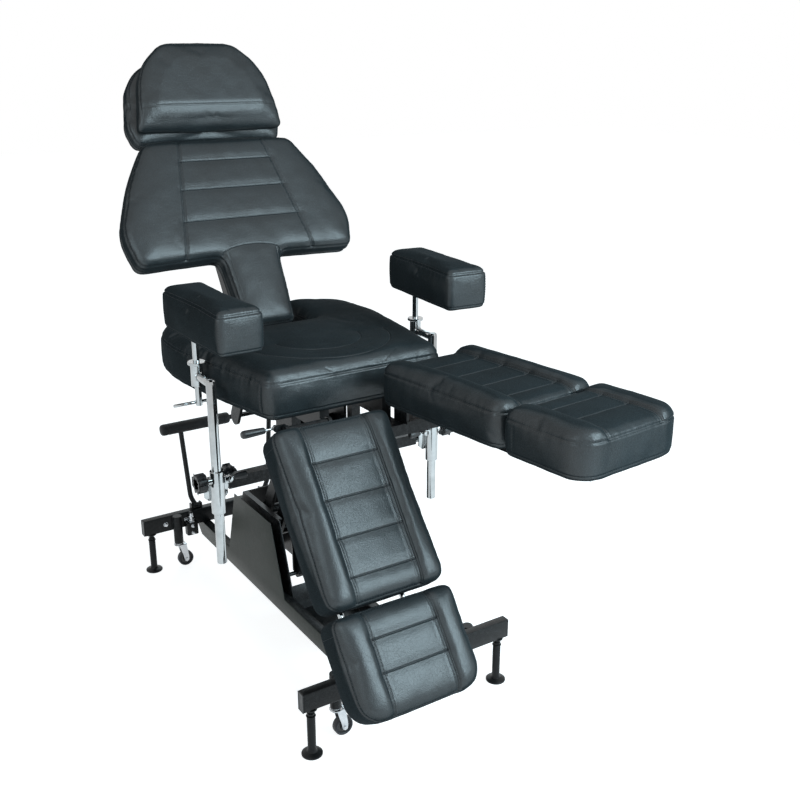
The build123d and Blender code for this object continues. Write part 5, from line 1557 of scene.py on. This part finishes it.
@dataclass
class ArmrestSupport:
    """One armrest's chromed support: slider, sleeve, upright tube, socket, post, knobs and catch."""

    side: Side
    x: float = ARM_X
    tube_y: float = 180.0
    tube_bottom: float = 345.0
    elbow_z: float = 806.0
    tube: float = 24.0
    link: float = 20.0
    post_y: float = ARM_POST_Y
    clamp_z: float = 566.0
    catch_x: float = 285.0
    catch_y: float = 175.0

    def build(self) -> None:
        """Model every piece of the support."""
        self._slider()
        self._tube()
        self._post()
        self._knobs()
        self._catch()

    @property
    def _mirror(self) -> Matrix:
        """From a piece made on +X to this side."""
        return Matrix.Diagonal((self.side.sign, 1, 1, 1))

    def _slider(self) -> None:
        """The inner bar, the end plate and the sleeve with its clamp boss."""
        piece = Piece(f"armrest_slider_chromed_{self.side.label}", CHROME, ZINC)
        piece.add(CHROME, block, (130, 201.4, 528.4), (341, 224.6, 551.6), 1.5, at=self._mirror)
        outline = ((280, 519), (290, 509), (331, 509), (341, 519), (341, 561), (331, 571), (290, 571),
                   (280, 561))
        turned = Matrix.Translation((0, 197.3, 0)) @ rotation("X", 90)
        piece.add(CHROME, plate, outline, 5.0, 0.8, turned, at=self._mirror)
        sleeve = ((12.2, 480), (16.2, 480), (17, 480.8), (17, 588.2), (16.2, 589), (12.2, 589), (12.2, 480))
        piece.add(CHROME, lathe, sleeve, Matrix.Translation((self.x, self.tube_y, 0)), 44, at=self._mirror)
        piece.add(CHROME, lathe, ((8.2, 14), (9, 14.8), (9, 24.2), (8.2, 25), (5.1, 25)),
                  aim(Vector((self.x, self.tube_y, self.clamp_z)),
                      Vector((self.x + 25, self.tube_y, self.clamp_z))), 32, at=self._mirror)
        with piece.part(CHROME, self._mirror) as shape:
            block(shape, (285, 162.7, 558.2), (298, 171.6, 573.8), 1.0)
            for front, rear, diameter, rim, steps in ((162.7, 171.6, 16, 0.8, 32), (171, 178, 6, 0.5, 20)):
                round_bar(shape, (self.catch_x, front, self.clamp_z), (self.catch_x, rear, self.clamp_z),
                          diameter, rim, steps)
        for x, z in ((303, 560), (303, 520)):
            piece.add(ZINC, hex_bolt, turned @ Matrix.Translation((x, z, 5)), 8, 3.2, 0.8, at=self._mirror)
        piece.hand_over(f"arm_slider_{self.side.label}", f"armrest_slider_{self.side.label}")

    def _tube(self) -> None:
        """The upright tube, its link and the socket with its flange."""
        piece = Piece(f"armrest_tube_chromed_{self.side.label}", CHROME)
        place = self._mirror @ Matrix.Translation((0, 0, ARM_LIFTS[self.side]))
        with piece.part(CHROME, place) as shape:
            half = self.tube / 2
            lathe(shape, ((9.5, 0), (half - 0.8, 0), (half, 0.8), (half, self.elbow_z - self.tube_bottom + 4),
                          (half - 1, self.elbow_z - self.tube_bottom + 8.6),
                          (half - 4.2, self.elbow_z - self.tube_bottom + 11.4),
                          (0, self.elbow_z - self.tube_bottom + 12), (0, 8), (9.5, 8), (9.5, 0)),
                  Matrix.Translation((self.x, self.tube_y, self.tube_bottom)), 44)
        piece.add(CHROME, round_bar, (self.x, self.tube_y, self.elbow_z), (self.x, self.post_y, self.elbow_z),
                  self.link, 1, at=place)
        socket = ((8.1, 781), (14.2, 781), (15, 782), (15, 832), (16, 833.6), (20.2, 834), (21, 834.8),
                  (21, 840), (20.2, 841), (8.1, 841), (8.1, 781))
        piece.add(CHROME, lathe, socket, Matrix.Translation((self.x, self.post_y, 0)), 44, at=place)
        piece.add(CHROME, lathe, ((9.6, 0), (12, 0.2), (11.2, 1.8), (10.2, 2.6)),
                  aim(Vector((self.x, self.post_y - 14.2, self.elbow_z)),
                      Vector((self.x, self.tube_y, self.elbow_z))), 32, at=place)
        piece.hand_over(f"arm_tube_{self.side.label}", f"armrest_tube_{self.side.label}")

    def _post(self) -> None:
        """The pad's post, its mounting plate with screws and the tommy bar through its foot."""
        piece = Piece(f"armrest_post_chromed_{self.side.label}", CHROME, POWDER, ZINC)
        place = self._mirror @ Matrix.Translation((0, 0, ARM_LIFTS[self.side]))
        post = ((0, 731), (7.2, 731), (8, 731.8), (8, 760), (7.9, 761), (7.9, 905), (8.4, 912), (11, 915),
                (0, 915))
        piece.add(CHROME, lathe, post, Matrix.Translation((self.x, self.post_y, 0)), 36, at=place)
        piece.add(CHROME, round_bar, (288, self.post_y, 740), (376, self.post_y, 740), 8, 1.2, 24, at=place)
        toed = place @ Matrix.Translation((self.x, self.post_y, 0)) @ rotation("Z", -ARM_TOES[self.side])
        piece.add(POWDER, block, (-30, -100, 915), (30, 30, 919), 1.2, at=toed)
        for x, y in ((-22, -90), (22, -90), (-22, 20), (22, 20)):
            piece.add(ZINC, cap_screw, Matrix.Translation((x, y, 915)) @ rotation("X", 180), 9, 2.6, at=toed)
        piece.hand_over(f"arm_pad_{self.side.label}", f"armrest_post_{self.side.label}")

    def _knobs(self) -> None:
        """The knob that holds the tube and the knob that holds the slide."""
        piece = Piece(f"armrest_height_knob_fluted_{self.side.label}", PLASTIC)
        turn = Matrix.Translation((342, self.tube_y, self.clamp_z)) @ rotation("Y", 90)
        piece.add(PLASTIC, fluted_knob, turn, 48, 24, 17.7, at=self._mirror)
        piece.hand_over(f"height_knob_{self.side.label}", f"armrest_height_knob_{self.side.label}")
        piece = Piece(f"armrest_slide_knob_fluted_{self.side.label}", PLASTIC)
        turn = Matrix.Translation((254, 238, 545)) @ rotation("X", -90)
        piece.add(PLASTIC, fluted_knob, turn, 42, 22, 13, at=self._mirror)
        piece.hand_over(f"slide_knob_{self.side.label}", f"armrest_slide_knob_{self.side.label}")

    def _catch(self) -> None:
        """The small lever with its tapered grip."""
        piece = Piece(f"armrest_catch_lever_{self.side.label}", PLASTIC, CHROME)
        piece.add(CHROME, lathe, ((3.1, -3), (7.4, -3), (8, -2.4), (8, 2.4), (7.4, 3), (3.1, 3), (3.1, -3)),
                  Matrix.Translation((self.catch_x, self.catch_y, self.clamp_z)) @ rotation("X", 90), 32,
                  at=self._mirror)
        piece.add(CHROME, round_bar, (278.5, self.catch_y, self.clamp_z), (266, self.catch_y, self.clamp_z),
                  5, 0.4, 20, at=self._mirror)
        grip = ((0, 0), (5.4, 0), (6.6, 1), (7.4, 6), (8.6, 16), (9.5, 26), (8.8, 31.4), (6, 33.6), (0, 34))
        piece.add(PLASTIC, lathe, grip,
                  aim(Vector((270, self.catch_y, self.clamp_z)), Vector((236, self.catch_y, self.clamp_z))),
                  36, at=self._mirror)
        piece.hand_over(f"arm_catch_{self.side.label}", f"armrest_catch_{self.side.label}")


@dataclass
class LegLock:
    """The lever that frees one leg rest: chromed rod and round black grip."""

    side: Side
    y: float = 20.0
    z: float = 5.0

    def build(self, legs: LegUpholstery) -> None:
        """Model the lever in its swing bracket's frame.

        Args:
            legs: the leg rests, which know that frame.
        """
        swing = legs.swing(self.side) @ Matrix.Diagonal((self.side.sign, 1, 1, 1))
        piece = Piece(f"leg_lock_lever_turned_{self.side.label}", PLASTIC, CHROME)
        piece.add(CHROME, lathe,
                  ((3.6, -3.5), (6.9, -3.5), (7.5, -2.9), (7.5, 2.9), (6.9, 3.5), (3.6, 3.5), (3.6, -3.5)),
                  Matrix.Translation((72, self.y, self.z)) @ rotation("X", 90), 32,
                  at=swing)
        piece.add(CHROME, round_bar, (78.5, self.y, self.z), (102, self.y, self.z), 6, 0.4, 24, at=swing)
        grip = ((0, 0), (5.5, 0), (7, 1.2), (7.6, 5), (8.4, 20), (9.2, 40), (9.5, 49), (8.8, 54), (6.2, 57.2),
                (0, 58))
        piece.add(PLASTIC, lathe, grip, aim(Vector((98, self.y, self.z)), Vector((156, self.y, self.z))), 40,
                  at=swing)
        piece.hand_over(f"leg_lock_{self.side.label}", f"leg_lock_lever_{self.side.label}")


# ---------------------------------------------------------------- studio


@dataclass
class Studio:
    """The pale floor, the soft light, the white surround and the camera of the photograph."""

    camera_at: Point = (-1.1440, -2.0745, 1.5302)
    camera_turn: Point = (70.934, 0.0, -32.943)
    lens: float = 45.12
    floor_size: float = 30.0
    floor_tone: float = 0.72
    floor_glow: float = 0.85
    soft_light: Colour = (0.88, 0.96, 1.0)
    soft_strength: float = 0.2
    lamp_colour: Colour = (0.68, 0.9, 1.0)
    lamps: tuple[tuple[str, Point, float, float], ...] = (
        ("key_softbox", (1.2, -2.65, 2.1), 2.0, 122.0),
        ("fill_softbox", (-3.4, -1.2, 2.4), 1.8, 30.0),
        ("rear_softbox", (1.6, 3.2, 3.0), 2.0, 22.0),
    )

    def build(self) -> None:
        """Set up everything that isn't the chair."""
        scene = bpy.context.scene
        scene.view_settings.view_transform = "Standard"
        self._camera(scene)
        self._floor()
        self._surround(scene)
        for name, place, size, power in self.lamps:
            self._lamp(name, place, size, power)

    def _camera(self, scene: bpy.types.Scene) -> None:
        """The camera at the photograph's place and angle."""
        data = bpy.data.cameras.new("photo_camera")
        data.lens = self.lens
        data.sensor_width = 36.0
        camera = bpy.data.objects.new("photo_camera", data)
        camera.location = self.camera_at
        camera.rotation_euler = [math.radians(angle) for angle in self.camera_turn]
        scene.collection.objects.link(camera)
        scene.camera = camera

    def _floor(self) -> None:
        """A plain pale floor that keeps the chair's shadow."""
        shape = bmesh.new()
        bmesh.ops.create_grid(shape, x_segments=2, y_segments=2, size=self.floor_size / 2)
        data = bpy.data.meshes.new("studio_floor")
        shape.to_mesh(data)
        shape.free()
        floor = bpy.data.objects.new("studio_floor", data)
        bpy.context.scene.collection.objects.link(floor)
        made = bpy.data.materials.new("pale_floor")
        made.use_nodes = True
        tree = made.node_tree
        shader = tree.nodes["Principled BSDF"]
        shader.inputs["Base Color"].default_value = (*(self.floor_tone,) * 3, 1)
        shader.inputs["Roughness"].default_value = 0.9
        shader.inputs["Specular IOR Level"].default_value = 0.1
        glow = add_node(tree, "Emission", {"Color": (1, 1, 1, 1), "Strength": self.floor_glow})
        both = add_node(tree, "AddShader", {0: shader.outputs[0], 1: glow.outputs[0]})
        seen = add_node(tree, "MixShader", {0: self._seen(tree), 1: shader.outputs[0], 2: both.outputs[0]})
        tree.links.new(seen.outputs[0], tree.nodes["Material Output"].inputs["Surface"])
        data.materials.append(made)

    @staticmethod
    def _seen(tree: bpy.types.NodeTree) -> bpy.types.NodeSocket:
        """1 for rays from the camera, from gloss and through glass."""
        light = add_node(tree, "LightPath")
        first = combine(tree, "MAXIMUM", light.outputs["Is Camera Ray"], light.outputs["Is Glossy Ray"])
        return combine(tree, "MAXIMUM", first, light.outputs["Is Transmission Ray"])

    def _surround(self, scene: bpy.types.Scene) -> None:
        """A white background that lights the chair only softly."""
        world = bpy.data.worlds.new("white_surround")
        scene.world = world
        world.use_nodes = True
        tree = world.node_tree
        tree.nodes.clear()
        soft = add_node(tree, "Background", {"Color": (*self.soft_light, 1), "Strength": self.soft_strength})
        white = add_node(tree, "Background", {"Color": (1, 1, 1, 1), "Strength": 1.0})
        mixed = add_node(tree, "MixShader", {0: self._seen(tree), 1: soft.outputs[0], 2: white.outputs[0]})
        end = add_node(tree, "OutputWorld")
        tree.links.new(mixed.outputs[0], end.inputs["Surface"])

    def _lamp(self, name: str, place: Point, size: float, power: float) -> None:
        """Add a square area lamp aimed at the middle of the chair."""
        data = bpy.data.lights.new(name, "AREA")
        data.size = size
        data.energy = power
        data.color = self.lamp_colour
        lamp = bpy.data.objects.new(name, data)
        lamp.location = place
        ahead = Vector((0, 0, 0.7)) - Vector(place)
        lamp.rotation_euler = ahead.to_track_quat("-Z", "Y").to_euler()
        bpy.context.scene.collection.objects.link(lamp)


def main() -> None:
    """Build the chair from the floor up, then the studio round it."""
    logging.basicConfig(level=logging.INFO, format="%(name)s: %(message)s")
    legs = LegUpholstery()
    back = BackUpholstery()
    WeldedBase().build()
    LevellingFeet().build()
    Casters().build()
    HousingCladding().build()
    LiftDressing().build()
    PumpLever().build()
    for side in Side:
        ArmrestSupport(side).build()
        LegLock(side).build(legs)
    SeatUpholstery().build()
    back.build()
    HeadUpholstery().build(back)
    legs.build()
    ArmUpholstery().build()
    Studio().build()


if __name__ == "__main__":
    main()
